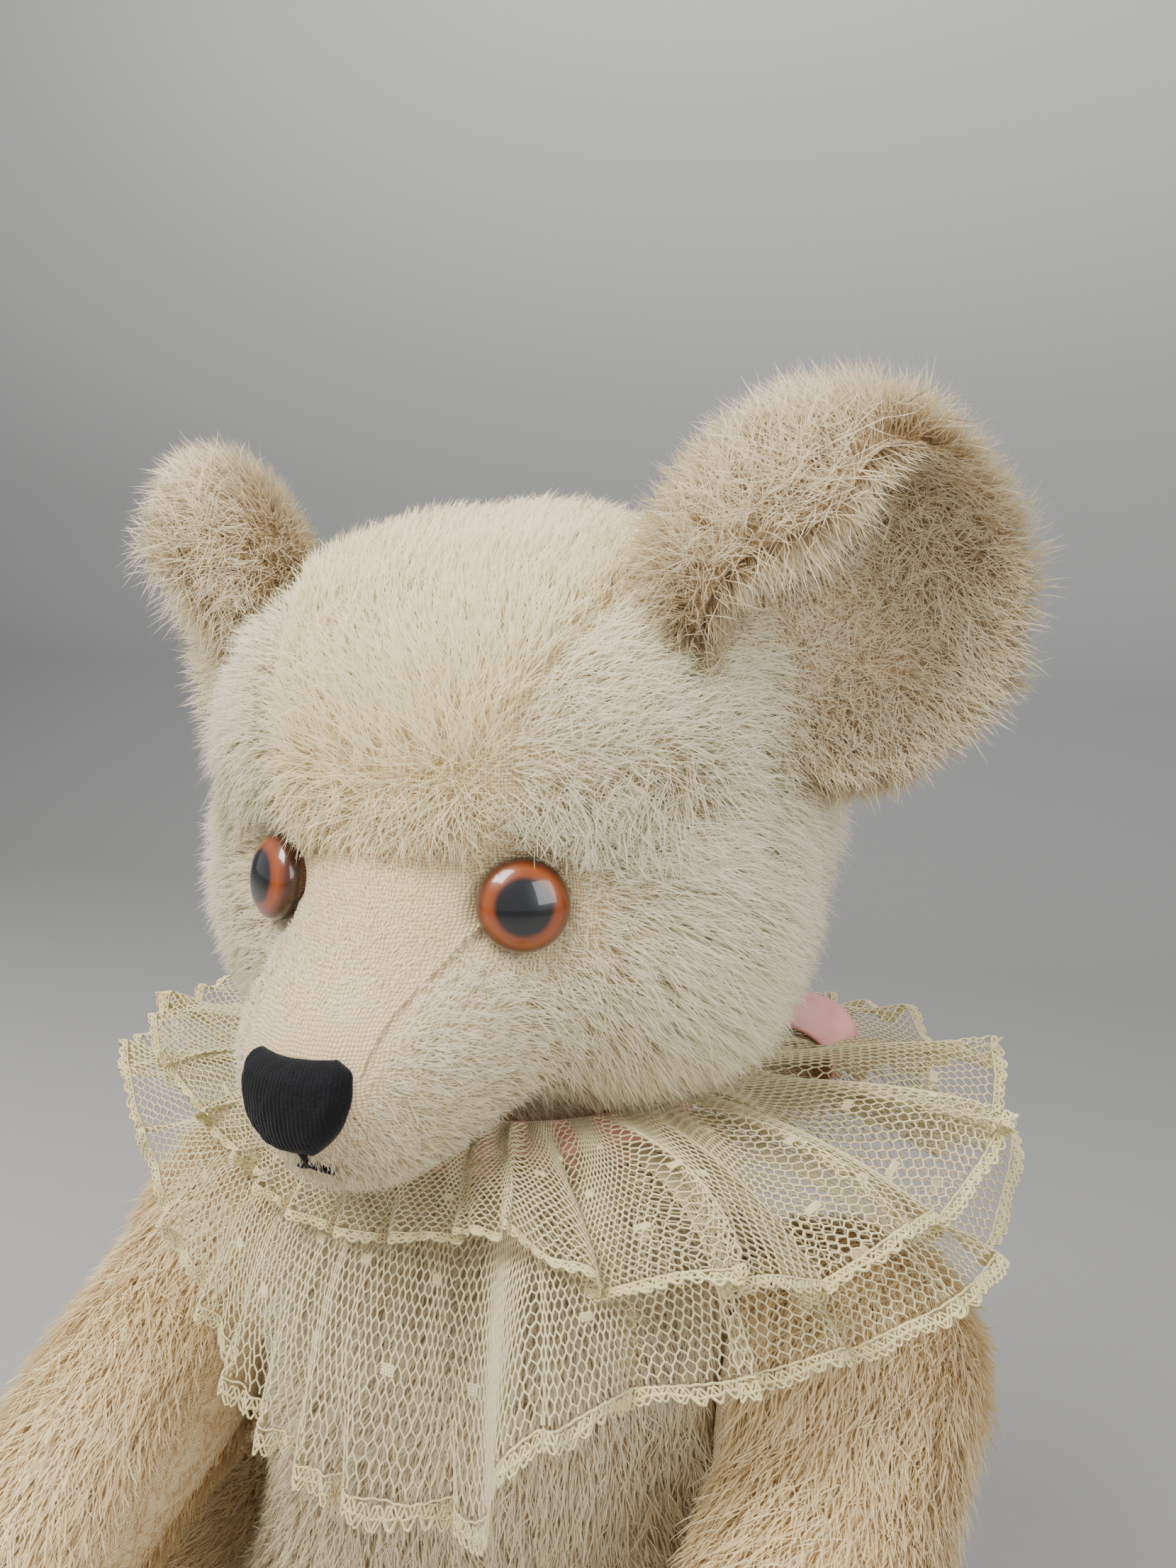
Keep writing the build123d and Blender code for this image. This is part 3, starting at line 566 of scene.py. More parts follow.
def grow(name, skin, density, length, comb, body, material, seed, lean=0.8, width=0.24,
         clump=0.55, cell=2.6, sag=0.12, drop=None):
    """Grows tapered fibres on a skin, in pieces of up to PILE_CHUNK fibres."""
    r = np.random.default_rng(seed)
    verts, _, tris, normals = skin
    a, b, c = verts[tris[:, 0]], verts[tris[:, 1]], verts[tris[:, 2]]
    area = np.linalg.norm(np.cross(b - a, c - a), axis=1) / 2
    mid = (a + b + c) / 3
    weight = area * density(mid)
    count = int(weight.sum())
    pick = r.choice(len(tris), count, p=weight / weight.sum())
    s, t = np.sqrt(r.random(count)), r.random(count)
    w = np.stack([1 - s, s * (1 - t), s * t], 1)[:, :, None]
    root = (np.stack([a[pick], b[pick], c[pick]], 1) * w).sum(1)
    nt = normals[tris[pick]]
    n = unit((nt * w).sum(1))
    if drop is not None:
        keep = ~drop(root)
        root, n = root[keep], n[keep]
        count = len(root)
    L = length(root) * (0.72 + 0.42 * r.random(count)) * (1 + 0.18 * wave_noise(root, 14, seed + 5))
    d = comb(root)
    swirl = np.stack([wave_noise(root, 17, seed + k) for k in range(3)], 1)
    d = unit(d + 0.45 * swirl + 0.30 * r.normal(size=(count, 3)))
    d = unit(d - (d * n).sum(1, keepdims=True) * n)
    centre, tone = clump_centres(root, cell, seed)
    toward = centre - root
    toward = toward - (toward * n).sum(1, keepdims=True) * n
    far = np.linalg.norm(toward, axis=1, keepdims=True)
    toward = toward * np.minimum(1.0, 0.42 * L[:, None] / np.maximum(far, 1e-6))
    ln = np.clip(lean + 0.10 * wave_noise(root, 9, seed + 9) + 0.09 * r.normal(size=count), 0.15, 0.97)[:, None]
    rise = np.sqrt(1 - ln**2)
    Lc = L[:, None]
    wide = width * (0.75 + 0.5 * r.random(count))[:, None]
    side = unit(np.cross(d, n) + 0.35 * r.normal(size=(count, 3)))
    wobble = r.normal(size=(count, 3)) * 0.05

    def point(t):
        bend = t**1.6
        return (
            root - n * 0.15
            + Lc * (n * (rise * t * (1 - 0.25 * t)) + d * ln * t + wobble * np.sin(t * 5.0))
            + toward * clump * bend
            - np.array([0, 0, 1.0]) * sag * Lc * t * t
        )

    rows = []
    for t in FIBRE_LEVELS:
        p = point(t)
        half = side * wide * 0.5 * (1.0 - 0.45 * t)
        rows += [p - half, p + half]
    rows.append(point(1.0))
    v = np.stack(rows, 1)
    face_n = unit(np.cross(side, point(0.9) - point(0.5)))
    face_n *= np.sign((face_n * n).sum(1, keepdims=True) + 1e-9)
    soft_n = unit(n * 0.85 + face_n * 0.45)
    levels = np.array([0, 0, FIBRE_LEVELS[1], FIBRE_LEVELS[1], FIBRE_LEVELS[2], FIBRE_LEVELS[2], 1.0])
    hue = np.clip(0.25 + 0.75 * tone + 0.25 * r.normal(size=count), 0, 1)
    for start in range(0, count, PILE_CHUNK):
        part = slice(start, min(start + PILE_CHUNK, count))
        vv = v[part]
        k = len(vv)
        base = (np.arange(k) * 7)[:, None]
        q1 = base + np.array([0, 1, 3, 2])
        q2 = base + np.array([2, 3, 5, 4])
        t1 = base + np.array([4, 5, 6])
        me = bpy.data.meshes.new(f"{name}_{start // PILE_CHUNK}")
        me.vertices.add(k * 7)
        me.vertices.foreach_set("co", (vv.reshape(-1, 3) * MM).astype(np.float32).ravel())
        loops = np.concatenate([q1, q2, t1], 1)
        me.loops.add(k * 11)
        me.loops.foreach_set("vertex_index", loops.ravel().astype(np.int32))
        me.polygons.add(k * 3)
        starts = ((np.arange(k) * 11)[:, None] + np.array([0, 4, 8])).ravel()
        me.polygons.foreach_set("loop_start", starts.astype(np.int32))
        me.update(calc_edges=True)
        me.polygons.foreach_set("use_smooth", np.ones(k * 3, bool))
        local = loops - base
        uv = np.stack([np.repeat(hue[part], 11), levels[local].ravel()], 1)
        layer = me.uv_layers.new(name="OFBake")
        layer.data.foreach_set("uv", uv.astype(np.float32).ravel())
        me.normals_split_custom_set_from_vertices(np.repeat(soft_n[part], 7, axis=0))
        ob = linked(me.name, me)
        ob.data.materials.append(material)
        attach(ob, body)


# ---------------------------------------------------------------- finishes
MOHAIR_HEAD = fur_material(
    "mohair_cheek", (0.62, 0.50, 0.30), (0.88, 0.79, 0.56), (0.97, 0.91, 0.70), (0.88, 0.83, 0.72)
)
MOHAIR_GUSSET = fur_material(
    "mohair_forehead", (0.66, 0.52, 0.28), (0.90, 0.78, 0.49), (0.98, 0.89, 0.61), (0.93, 0.86, 0.70)
)
# Ear mohair is a darker, more orange copy of the head mohair: painted shade of the cupped ear.
MOHAIR_EAR_PAINTED_SHADE = fur_material(
    "mohair_ear", (0.48, 0.31, 0.14), (0.74, 0.60, 0.37), (0.93, 0.84, 0.62), (0.84, 0.76, 0.62)
)
MOHAIR_BODY = fur_material(
    "mohair_body", (0.50, 0.40, 0.22), (0.72, 0.62, 0.41), (0.84, 0.75, 0.53), (0.88, 0.84, 0.74)
)
MOHAIR_LIMB = fur_material(
    "mohair_limb", (0.56, 0.38, 0.17), (0.86, 0.69, 0.39), (0.96, 0.82, 0.53), (0.92, 0.84, 0.70)
)
BACKING = weave_material("backing_cloth", (0.90, 0.76, 0.46), (0.50, 0.33, 0.16))


def seat(ob, body, material, replaces=()):
    ob.data.materials.append(material)
    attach(ob, body)
    if replaces:
        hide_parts(*replaces)
    return ob


# ---------------------------------------------------------------- head
HEAD_AXIS = (tilt((0, 12, 172)), tilt((0, -38, 159)), (1, 0, 0))
head = skin_of(head_field, *HEAD_AXIS, 120, 168)
hv, hgroups, htris, hn = head
side = gusset_side(hv)
near = np.abs(side) < 0.6
shift = np.zeros_like(hv)
shift[near, 0] = -side[near] * np.sign(hv[near, 0])
hv = hv + shift
head = (hv, hgroups, htris, hn)


def panel(verts, groups, keep):
    """The faces whose middle passes a test, with their own vertices."""
    out, used = [], []
    for g in groups:
        mid = verts[g].mean(1)
        out.append(g[keep(mid)])
        used.append(out[-1].ravel())
    index = np.unique(np.concatenate(used))
    place = np.full(len(verts), -1)
    place[index] = np.arange(len(index))
    return verts[index], [place[g] for g in out if len(g)]


PANELS = {
    "head_gusset_cloth": (lambda m: gusset_side(m) < 0, "head_gusset"),
    "head_left_cloth": (lambda m: (gusset_side(m) >= 0) & (m[:, 0] > 0), "head_left_side"),
    "head_right_cloth": (lambda m: (gusset_side(m) >= 0) & (m[:, 0] <= 0), "head_right_side"),
}
for name, (test, node) in PANELS.items():
    seat(new_mesh(name, *panel(hv, hgroups, test)), "head", BACKING, replaces=(node,))


def eye_gap(p):
    """Distance to the nearer eye's rim, in the bear's frame."""
    q = to_left(untilt(p))
    return np.linalg.norm(q - (EYE + EYE_NORMAL * 1.5), axis=1) - EYE_R


def nose_cover(q):
    """Negative where the stitched nose lies, in the upright frame."""
    top, low = 163.8, 151.4
    half = lerp(3.6, 8.0, smoothstep(low, 159.5, q[:, 2]))
    return np.where(q[:, 1] < -40, np.maximum(np.abs(q[:, 0]) - half, np.maximum(low - q[:, 2], q[:, 2] - top)), 9.0)


def head_length(p):
    q = untilt(p)
    full = 8.2
    back = smoothstep(-44, -16, q[:, 1])
    cheek = lerp(2.6, full, back)
    crown = lerp(1.3, 6.4, smoothstep(-36, -27, q[:, 1]))
    crown = lerp(crown, 8.0, smoothstep(-18, 12, q[:, 1]))
    crown = lerp(crown, np.maximum(crown, 6.8), smoothstep(178, 184, q[:, 2]))
    length = np.where(gusset_side(p) < 0, crown, cheek)
    length = np.where(q[:, 2] < 150, np.minimum(length, lerp(2.6, 6.5, smoothstep(-48, -10, q[:, 1]))), length)
    rim = eye_gap(p)
    length = length * lerp(0.35, 1.0, smoothstep(0.0, 7.0, rim))
    brow = (q[:, 2] > 176) & (np.abs(np.abs(q[:, 0]) - 17.5) < 8)
    length = np.where(brow & (rim < 7), np.maximum(length, 3.4), length)
    seam = np.abs(gusset_side(p))
    length = length * lerp(0.62, 1.0, smoothstep(0.2, 2.2, seam))
    return length * lerp(0.5, 1.0, smoothstep(0.0, 3.0, nose_cover(q)))


def head_density(p):
    q = untilt(p)
    bare = lerp(7.0, 6.2, smoothstep(-44, -16, q[:, 1]))
    top = lerp(4.4, 8.0, smoothstep(-38, -27, q[:, 1]))
    d = np.where(gusset_side(p) < 0, top, bare)
    d = d * lerp(0.30, 1.0, smoothstep(0.0, 1.1, np.abs(gusset_side(p))))
    hidden = (q[:, 1] > 30) | (q[:, 2] < 136)
    return d * np.where(hidden, 0.75, 1.0)


def head_comb(p):
    q = untilt(p)
    away = unit(q - np.array([0, -66.0, 158.0]))
    cheek = unit(away + np.array([0, 0.15, -0.75]) + np.stack([0.25 * np.sign(q[:, 0]), 0 * q[:, 0], 0 * q[:, 0]], 1))
    crown = unit(away + np.array([0, 0.2, 0.35]))
    muzzle = smoothstep(-30, -46, q[:, 1])[:, None]
    d = np.where((gusset_side(p) < 0)[:, None], crown, lerp(cheek, unit(away + np.array([0, 0.3, -0.1])), muzzle))
    brow = smoothstep(176, 181, q[:, 2]) * smoothstep(191, 185, q[:, 2]) * smoothstep(-15, -22, q[:, 1])
    fringe = unit(np.stack([0.25 * np.sign(q[:, 0]), 0 * q[:, 0] - 0.7, 0 * q[:, 0] - 0.65], 1))
    d = lerp(d, fringe, 0.8 * brow[:, None])
    out = unit(to_left(q) - EYE)
    out[:, 0] *= np.sign(q[:, 0])
    close = smoothstep(6.0, 0.0, eye_gap(p))[:, None] * 0.8
    return lerp(d, out, close) @ TILT.T


def off_head(p):
    q = untilt(p)
    inside_neck = (np.hypot(p[:, 0], p[:, 1]) < 21.0) & (p[:, 2] < 134)
    return (eye_gap(p) < -0.6) | (nose_cover(q) < -0.4) | inside_neck


def only(skin, test):
    v, g, t, n = skin
    mid = v[t].mean(1)
    return v, g, t[test(mid)], n


gusset_skin = only(head, lambda m: gusset_side(m) < 0)
cheek_skin = only(head, lambda m: gusset_side(m) >= 0)
grow("pile_gusset", gusset_skin, head_density, head_length, head_comb, "head", MOHAIR_GUSSET, 31,
     lean=0.76, width=0.175, clump=0.34, cell=2.2, sag=0.05, drop=off_head)
grow("pile_cheeks", cheek_skin, head_density, head_length, head_comb, "head", MOHAIR_HEAD, 32,
     lean=0.76, width=0.175, clump=0.60, cell=2.8, sag=0.12, drop=off_head)

# ---------------------------------------------------------------- torso and limbs
TORSO_AXIS = ((0, 0, 30), (0, 0, 104), (1, 0, 0))
torso = skin_of(torso_field, *TORSO_AXIS, 90, 120)
tv, tgroups = torso[:2]
for name, test, node in (
    ("torso_left_cloth", lambda m: m[:, 0] > 0, "torso_left_skin"),
    ("torso_right_cloth", lambda m: m[:, 0] <= 0, "torso_right_skin"),
):
    seat(new_mesh(name, *panel(tv, tgroups, test)), "torso", BACKING, replaces=(node,))


def torso_length(p):
    return 5.6 * lerp(0.25, 1.0, smoothstep(0.5, 9.0, p[:, 2])) * lerp(0.4, 1.0, smoothstep(128, 118, p[:, 2]))


def torso_density(p):
    covered = (np.abs(p[:, 0]) > 35) & (from_shoulder(p) < 17)
    covered |= (np.abs(p[:, 0]) > 38.5) & (from_hip(p) < 24)
    covered |= (p[:, 2] < 1.0) | (p[:, 2] > 129)
    return np.where(covered, 0.0, 3.6)


def torso_comb(p):
    return unit(np.stack([0.10 * p[:, 0] / 40, 0.10 * p[:, 1] / 40, -np.ones(len(p))], 1))


grow("pile_torso", torso, torso_density, torso_length, torso_comb, "torso", MOHAIR_BODY, 41,
     lean=0.86, clump=0.4, cell=3.0, sag=0.05)


def mirror_skin(skin):
    v, groups, t, n = skin
    flip = np.array([-1.0, 1, 1])
    return v * flip, [g[:, ::-1] for g in groups], t[:, ::-1], n * flip


def paw_place(p, wide, tall):
    """Under 1 within an ellipse round the paw pad's middle, and whether the point is on the pad's side."""
    q = to_left(p)
    local = (q - ARM_ROOT) @ ARM_TURN
    return ((q[:, 0] - 51) / wide) ** 2 + ((local[:, 2] - 84) / tall) ** 2, local[:, 1] < 0


def arm_length(p):
    inner = smoothstep(37.0, 41.5, np.abs(p[:, 0]))
    pad, inside = paw_place(p, 8.2, 12.5)
    pad = np.where(inside, smoothstep(0.9, 1.25, pad), 1.0)
    return 6.6 * lerp(0.15, 1.0, inner) * lerp(0.0, 1.0, pad)


def arm_density(p):
    face = (np.abs(p[:, 0]) < 36.8) & (from_shoulder(p) < 17)
    return np.where(face, 0.0, 4.0)


def arm_comb(p):
    return np.tile(ARM_ALONG, (len(p), 1)) + np.array([0, 0, -0.25])


def bare_pad(p):
    pad, inside = paw_place(p, 8.6, 13.0)
    return inside & (pad < 1.0)


def leg_length(p):
    inner = smoothstep(41.0, 45.5, np.abs(p[:, 0]))
    floor = smoothstep(0.4, 7.0, p[:, 2])
    return 6.4 * lerp(0.15, 1.0, inner) * lerp(0.12, 1.0, floor)


def leg_density(p):
    face = (np.abs(p[:, 0]) < 40.9) & (from_hip(p) < 23)
    return np.where(face | (p[:, 2] < 0.6), 0.0, 3.2)


def leg_comb(p):
    foot = smoothstep(-88, -106, p[:, 1])[:, None]
    return lerp(np.array([0, -1.0, -0.25]), np.array([0, -0.35, 0.65]), foot) + np.zeros((len(p), 3))


def bare_sole(p):
    q = ((np.abs(p[:, 0]) - LEG_X) / 13.5) ** 2 + ((p[:, 2] - 33) / 23.0) ** 2
    return (p[:, 1] < -116) & (q < 1.0)


ARM_AXIS = (arm_point(0, 0, 2), arm_point(0, 0.5, 84), (1, 0, 0))
LEG_AXIS = ((LEG_X, 0, 27), (LEG_X, -104, 27), (1, 0, 0))
arm = skin_of(arm_field, *ARM_AXIS, 90, 72)
leg = skin_of(leg_field, *LEG_AXIS, 100, 80)
for sign, which in ((1, "left"), (-1, "right")):
    a_skin = arm if sign > 0 else mirror_skin(arm)
    l_skin = leg if sign > 0 else mirror_skin(leg)
    body_a, body_l = f"{which}_arm", f"{which}_leg"
    for body, skin in ((body_a, a_skin), (body_l, l_skin)):
        seat(new_mesh(f"{body}_cloth", *skin[:2]), body, BACKING, replaces=(f"{body}_skin",))
    grow(f"pile_{which}_arm", a_skin, arm_density, arm_length, arm_comb, body_a, MOHAIR_LIMB, 51 + sign,
         lean=0.84, clump=0.4, cell=2.8, sag=0.06, drop=bare_pad)
    grow(f"pile_{which}_leg", l_skin, leg_density, leg_length, leg_comb, body_l, MOHAIR_LIMB, 61 + sign,
         lean=0.84, clump=0.4, cell=2.8, sag=0.05, drop=bare_sole)


# ---------------------------------------------------------------- stuffing
def wood_wool(name):
    m = Nodes(name)
    v = m.coords()
    strands = m.add("ShaderNodeTexWave", wave_type="BANDS", Scale=0.5, Distortion=9.0, Detail=3.0)
    m.link(v, strands.inputs["Vector"])
    m.paint(m.ramp(strands.outputs["Fac"], [(0.1, (0.42, 0.28, 0.13)), (0.7, (0.78, 0.62, 0.38))]))
    m.put(Roughness=0.8)
    m.bump(strands.outputs["Fac"], 0.8, 0.0006)
    return m.mat


WOOL = wood_wool("wood_wool")


WOOL_INSET = 1.6


def stuffing(name, skin, body, node):
    ob = new_mesh(name, skin[0] - skin[3] * WOOL_INSET, skin[1])
    seat(ob, body, WOOL, replaces=(node,))


stuffing("head_filling", skin_of(head_field, *HEAD_AXIS, 60, 80), "head", "head_stuffing")
stuffing("torso_filling", skin_of(torso_field, *TORSO_AXIS, 50, 64), "torso", "torso_stuffing")
coarse_arm = skin_of(arm_field, *ARM_AXIS, 50, 40)
coarse_leg = skin_of(leg_field, *LEG_AXIS, 50, 40)
for sign, which in ((1, "left"), (-1, "right")):
    for limb, skin in (("arm", coarse_arm), ("leg", coarse_leg)):
        own = skin if sign > 0 else mirror_skin(skin)
        stuffing(f"{which}_{limb}_filling", own, f"{which}_{limb}", f"{which}_{limb}_stuffing")

# ---------------------------------------------------------------- ears
EAR_CENTRE = np.array([48.5, -3.0, 198.5])
EAR_NORMAL = unit([0.66, -0.75, -0.05])
EAR_OUT = unit(np.cross([0, 0, 1.0], EAR_NORMAL))
EAR_OUT = EAR_OUT * np.sign(EAR_OUT[0])
EAR_RISE = unit(np.cross(EAR_NORMAL, EAR_OUT))
EAR_RISE = EAR_RISE * np.sign(EAR_RISE[2])
EAR_WIDE, EAR_TALL, EAR_DEEP = 22.0, 21.0, 14.5
EAR_RINGS, EAR_SEGS = 46, 96


def ear_curl(a):
    """How far round the cup's rim curls in: most at the top on the head's side."""
    turn = (a - math.radians(128) + math.pi) % (2 * math.pi) - math.pi
    return np.exp(-((turn / math.radians(44)) ** 2))


def ear_cup(s, a, lift):
    """Point on the ear's cup; s is 0 at the bottom and 1 at the rim, lift is outward from the mid layer."""
    curl = ear_curl(a)
    phi = s * np.radians(80 + 62 * curl)
    shrink = 1.0 - 0.10 * curl * smoothstep(0.5, 1.0, s)
    wide, tall, deep = EAR_WIDE + lift, EAR_TALL + lift, EAR_DEEP + lift
    roll = 1.0 + 0.35 * curl
    r = np.sin(np.minimum(phi, np.pi / 2)) * shrink
    over = np.maximum(phi - np.pi / 2, 0)
    back_in = (1 - np.cos(over)) * 0.52
    r = r - back_in
    h = -deep * np.cos(np.minimum(phi, np.pi / 2)) + 8.0 * roll * np.sin(over)
    low = 1.0 - 0.10 * smoothstep(-0.3, -1.0, np.sin(a))
    return (
        EAR_CENTRE
        + EAR_OUT * (wide * r * np.cos(a) * low)[..., None]
        + EAR_RISE * (tall * r * np.sin(a))[..., None]
        + EAR_NORMAL * (h + 1.5)[..., None]
    )


def ear_shell():
    """Ear as back cloth and front lining, two grids that meet at the rim, each with the rim in its last row."""
    a = np.linspace(0, 2 * np.pi, EAR_SEGS, endpoint=False)
    half = np.linspace(0.0, 1.0, EAR_RINGS)
    grid_s, grid_a = np.meshgrid(half, a, indexing="ij")
    pad = 2.3 * np.sin(np.pi * np.clip(grid_s, 0, 1) ** 1.5) + 0.9 * np.sqrt(np.clip(1 - grid_s, 0, 1))
    back = ear_cup(grid_s, grid_a, pad)
    front = ear_cup(grid_s, grid_a, -pad * 0.9)
    return back, front


def grid_normals(points):
    du = np.roll(points, -1, 1) - np.roll(points, 1, 1)
    dv = np.gradient(points, axis=0)
    n = np.cross(du, dv)
    n[0] = n[1].mean(0)
    return unit(n)


back_grid, front_grid = ear_shell()
back_normal = grid_normals(back_grid)
if (back_normal[EAR_RINGS // 2] * (back_grid[EAR_RINGS // 2] - EAR_CENTRE)).sum() < 0:
    back_normal = -back_normal
front_normal = grid_normals(front_grid)
if (front_normal[EAR_RINGS // 2] * (EAR_CENTRE + EAR_NORMAL * 6 - front_grid[EAR_RINGS // 2])).sum() < 0:
    front_normal = -front_normal


def ear_place(p):
    """Share of the way from the ear's middle to its rim, and the angle round it."""
    q = to_left(p)
    rel = q - EAR_CENTRE
    x, y = rel @ EAR_OUT / EAR_WIDE, rel @ EAR_RISE / EAR_TALL
    return np.hypot(x, y), np.arctan2(y, x)


def ear_back_length(p):
    r, a = ear_place(p)
    return 9.2 * lerp(0.55, 1.0, smoothstep(0.45, 0.95, r)) * lerp(0.75, 1.0, smoothstep(-0.9, 0.2, np.sin(a)))


def ear_front_length(p):
    r, a = ear_place(p)
    return 6.4 * lerp(0.65, 1.0, smoothstep(0.3, 0.9, r))


def ear_back_comb(p):
    q = to_left(p)
    d = unit(q - EAR_CENTRE + EAR_NORMAL * 4.0)
    d = unit(d + EAR_NORMAL * 0.10)
    d[:, 0] *= np.sign(p[:, 0])
    return d


def ear_front_comb(p):
    q = to_left(p)
    r, a = ear_place(p)
    d = unit(q - EAR_CENTRE)
    folded = ear_curl(a)[:, None]
    hang = unit(np.array([0.45, -0.30, -1.0]))
    d = unit(lerp(d, hang + np.zeros_like(d), folded))
    d[:, 0] *= np.sign(p[:, 0])
    return d


def in_head(p):
    return head_field(p) < 0.8


EAR_SHIFT = {"left": np.zeros(3), "right": np.array([1.5, 0.0, -4.5])}
for sign, which in ((1, "left"), (-1, "right")):
    flip = np.array([sign, 1.0, 1.0])
    for part, grid, normal, rides in (
        ("back", back_grid, back_normal, f"{which}_ear_back"),
        ("front", front_grid, front_normal, f"{which}_ear_front"),
    ):
        verts = (grid.reshape(-1, 3) + EAR_SHIFT[which]) * flip
        quads = ring_faces(EAR_RINGS, EAR_SEGS, (part == "front") ^ (sign < 0))
        verts_w, groups = merged_caps(verts, quads)
        ob = seat(new_mesh(f"{which}_ear_{part}_cloth", verts_w, groups), "head", BACKING, replaces=(rides,))
        skin = (verts, [quads], triangles([quads]), normal.reshape(-1, 3) * flip)
        if part == "back":
            grow(f"pile_{which}_ear_back", skin, lambda p: np.full(len(p), 7.0), ear_back_length, ear_back_comb,
                 "head", MOHAIR_EAR_PAINTED_SHADE, 71 + sign, lean=0.66, width=0.175, clump=0.55, cell=2.6, sag=0.05, drop=in_head)
        else:
            grow(f"pile_{which}_ear_front", skin, lambda p: np.full(len(p), 6.0), ear_front_length, ear_front_comb,
                 "head", MOHAIR_EAR_PAINTED_SHADE, 81 + sign, lean=0.72, width=0.175, clump=0.5, cell=2.6, sag=0.10, drop=in_head)


# ---------------------------------------------------------------- eyes
def radial(m, ob, centre, axis):
    """Node value: distance in mm from a line through centre along axis, in the piece's own coordinates."""
    inverse = ob.matrix_world.inverted()
    c = inverse @ Vector(np.asarray(centre) * MM)
    d = (inverse.to_3x3() @ Vector(axis)).normalized()
    tex = m.add("ShaderNodeTexCoord")
    sub = m.add("ShaderNodeVectorMath", operation="SUBTRACT")
    m.link(tex.outputs["Object"], sub.inputs[0])
    sub.inputs[1].default_value = c
    cross = m.add("ShaderNodeVectorMath", operation="CROSS_PRODUCT")
    m.link(sub.outputs[0], cross.inputs[0])
    cross.inputs[1].default_value = d
    size = m.add("ShaderNodeVectorMath", operation="LENGTH")
    m.link(cross.outputs[0], size.inputs[0])
    scale = m.add("ShaderNodeMath", operation="MULTIPLY")
    m.link(size.outputs["Value"], scale.inputs[0])
    scale.inputs[1].default_value = 1000.0 / EYE_R
    return scale.outputs[0]


def recolour(ob, material):
    ob.data.materials.clear()
    ob.data.materials.append(material)


for sign, which in ((1, "left"), (-1, "right")):
    flip = np.array([sign, 1.0, 1.0])
    centre = tilt(EYE) * flip
    axis = (TILT @ EYE_NORMAL) * flip
    s = np.linspace(0, 1, 30)[:, None]
    a = np.linspace(0, 2 * np.pi, 96, endpoint=False)[None]
    e1 = unit(np.cross(axis, [0, 0, 1.0]))
    e2 = np.cross(axis, e1)
    r = EYE_R * np.minimum(s / 0.86, 1.0) * lerp(1.0, 0.97, smoothstep(0.9, 1.0, s))
    h = 2.5 * np.sqrt(np.clip(1 - (r / EYE_R) ** 2, 0, 1)) ** 1.15 - 2.6 * np.clip((s - 0.86) / 0.14, 0, 1) + 0 * a
    dome = centre + e1 * (r * np.cos(a))[..., None] + e2 * (r * np.sin(a))[..., None] + axis * (h + 0.5)[..., None]
    verts, groups = merged_caps(dome.reshape(-1, 3), ring_faces(30, 96))
    dome_ob = new_mesh(f"{which}_eye_dome", verts, groups)
    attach(dome_ob, "head")
    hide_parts(f"{which}_eye_glass")
    for part, shine in (("dome", 1.0), ("iris", 0.2)):
        ob = bpy.data.objects[f"{which}_eye_{part}"]
        m = Nodes(f"{which}_eye_{part}_paint")
        ring = radial(m, ob, centre, axis)
        v = m.coords()
        n = m.noise(v, 0.5, 2.0)
        paint = m.ramp(ring, [
            (0.0, (0.002, 0.002, 0.003)), (0.56, (0.002, 0.002, 0.003)), (0.60, (0.07, 0.010, 0.001)),
            (0.67, (0.24, 0.046, 0.003)), (0.80, (0.31, 0.064, 0.004)), (0.91, (0.15, 0.026, 0.002)),
            (1.0, (0.03, 0.006, 0.001)),
        ])
        cloud = m.ramp(n.outputs["Fac"], [(0.3, (0.85, 0.85, 0.85)), (0.7, (1, 1, 1))])
        m.paint(m.mix(paint, cloud, 0.6, "MULTIPLY"))
        m.put(Roughness=0.28, IOR=1.5, Coat_Weight=shine, Coat_Roughness=0.02)
        recolour(ob, m.mat)


# ---------------------------------------------------------------- nose and mouth
BLACK_THREAD = mottled("black_thread", (0.003, 0.003, 0.004), (0.014, 0.014, 0.016), (6.0, 4.0),
                       Roughness=0.85, Sheen_Weight=0.12, Sheen_Roughness=0.4, Specular_IOR_Level=0.15)


def muzzle_front(x, z):
    """Surface point of the upright muzzle for a front view position."""
    start = np.stack([x * 0.55, np.full_like(x, -34.0), lerp(157.5, z, 0.6) + 0 * x], -1)
    goal = np.stack([x, np.full_like(x, -66.0), z], -1)
    way = unit(goal - start)
    return cast(upright_head, start.reshape(-1, 3), way.reshape(-1, 3), 40.0).reshape(*x.shape, 3)


def nose_half(z):
    table = [(151.4, 1.5), (152.6, 3.6), (154.8, 6.0), (157.6, 7.6), (160.5, 8.1), (162.7, 7.5), (163.9, 5.8)]
    return curve_value(table, z)[:, 0]


NOSE_LOW, NOSE_HIGH = 151.4, 163.9
rows = np.linspace(NOSE_LOW, NOSE_HIGH, 76)
across = np.linspace(-1, 1, 170)
half = nose_half(rows)
gx = half[:, None] * across[None]
gz = np.repeat(rows[:, None], len(across), 1)
base = muzzle_front(gx, gz)
base_n = gradient(upright_head, base.reshape(-1, 3)).reshape(base.shape)
edge = np.minimum(
    np.minimum((half[:, None] - np.abs(gx)), (gz - NOSE_LOW) * 0.9), (NOSE_HIGH - gz) * 1.0
)
puff = 1.9 * np.sqrt(np.clip(edge / 2.6, 0, 1)) - 0.25
stitch = np.abs(np.sin(np.pi * (gx + 0.06 * np.sin(gz * 1.7)) / 0.50)) ** 0.6
ragged = wave_noise(base.reshape(-1, 3), 1.2, 5).reshape(gx.shape) * 0.10
surface = base + base_n * (puff + 0.13 * stitch * np.clip(edge / 0.8, 0, 1) + ragged)[..., None]
nv = tilt(surface.reshape(-1, 3))
nidx = np.arange(len(nv)).reshape(gx.shape)
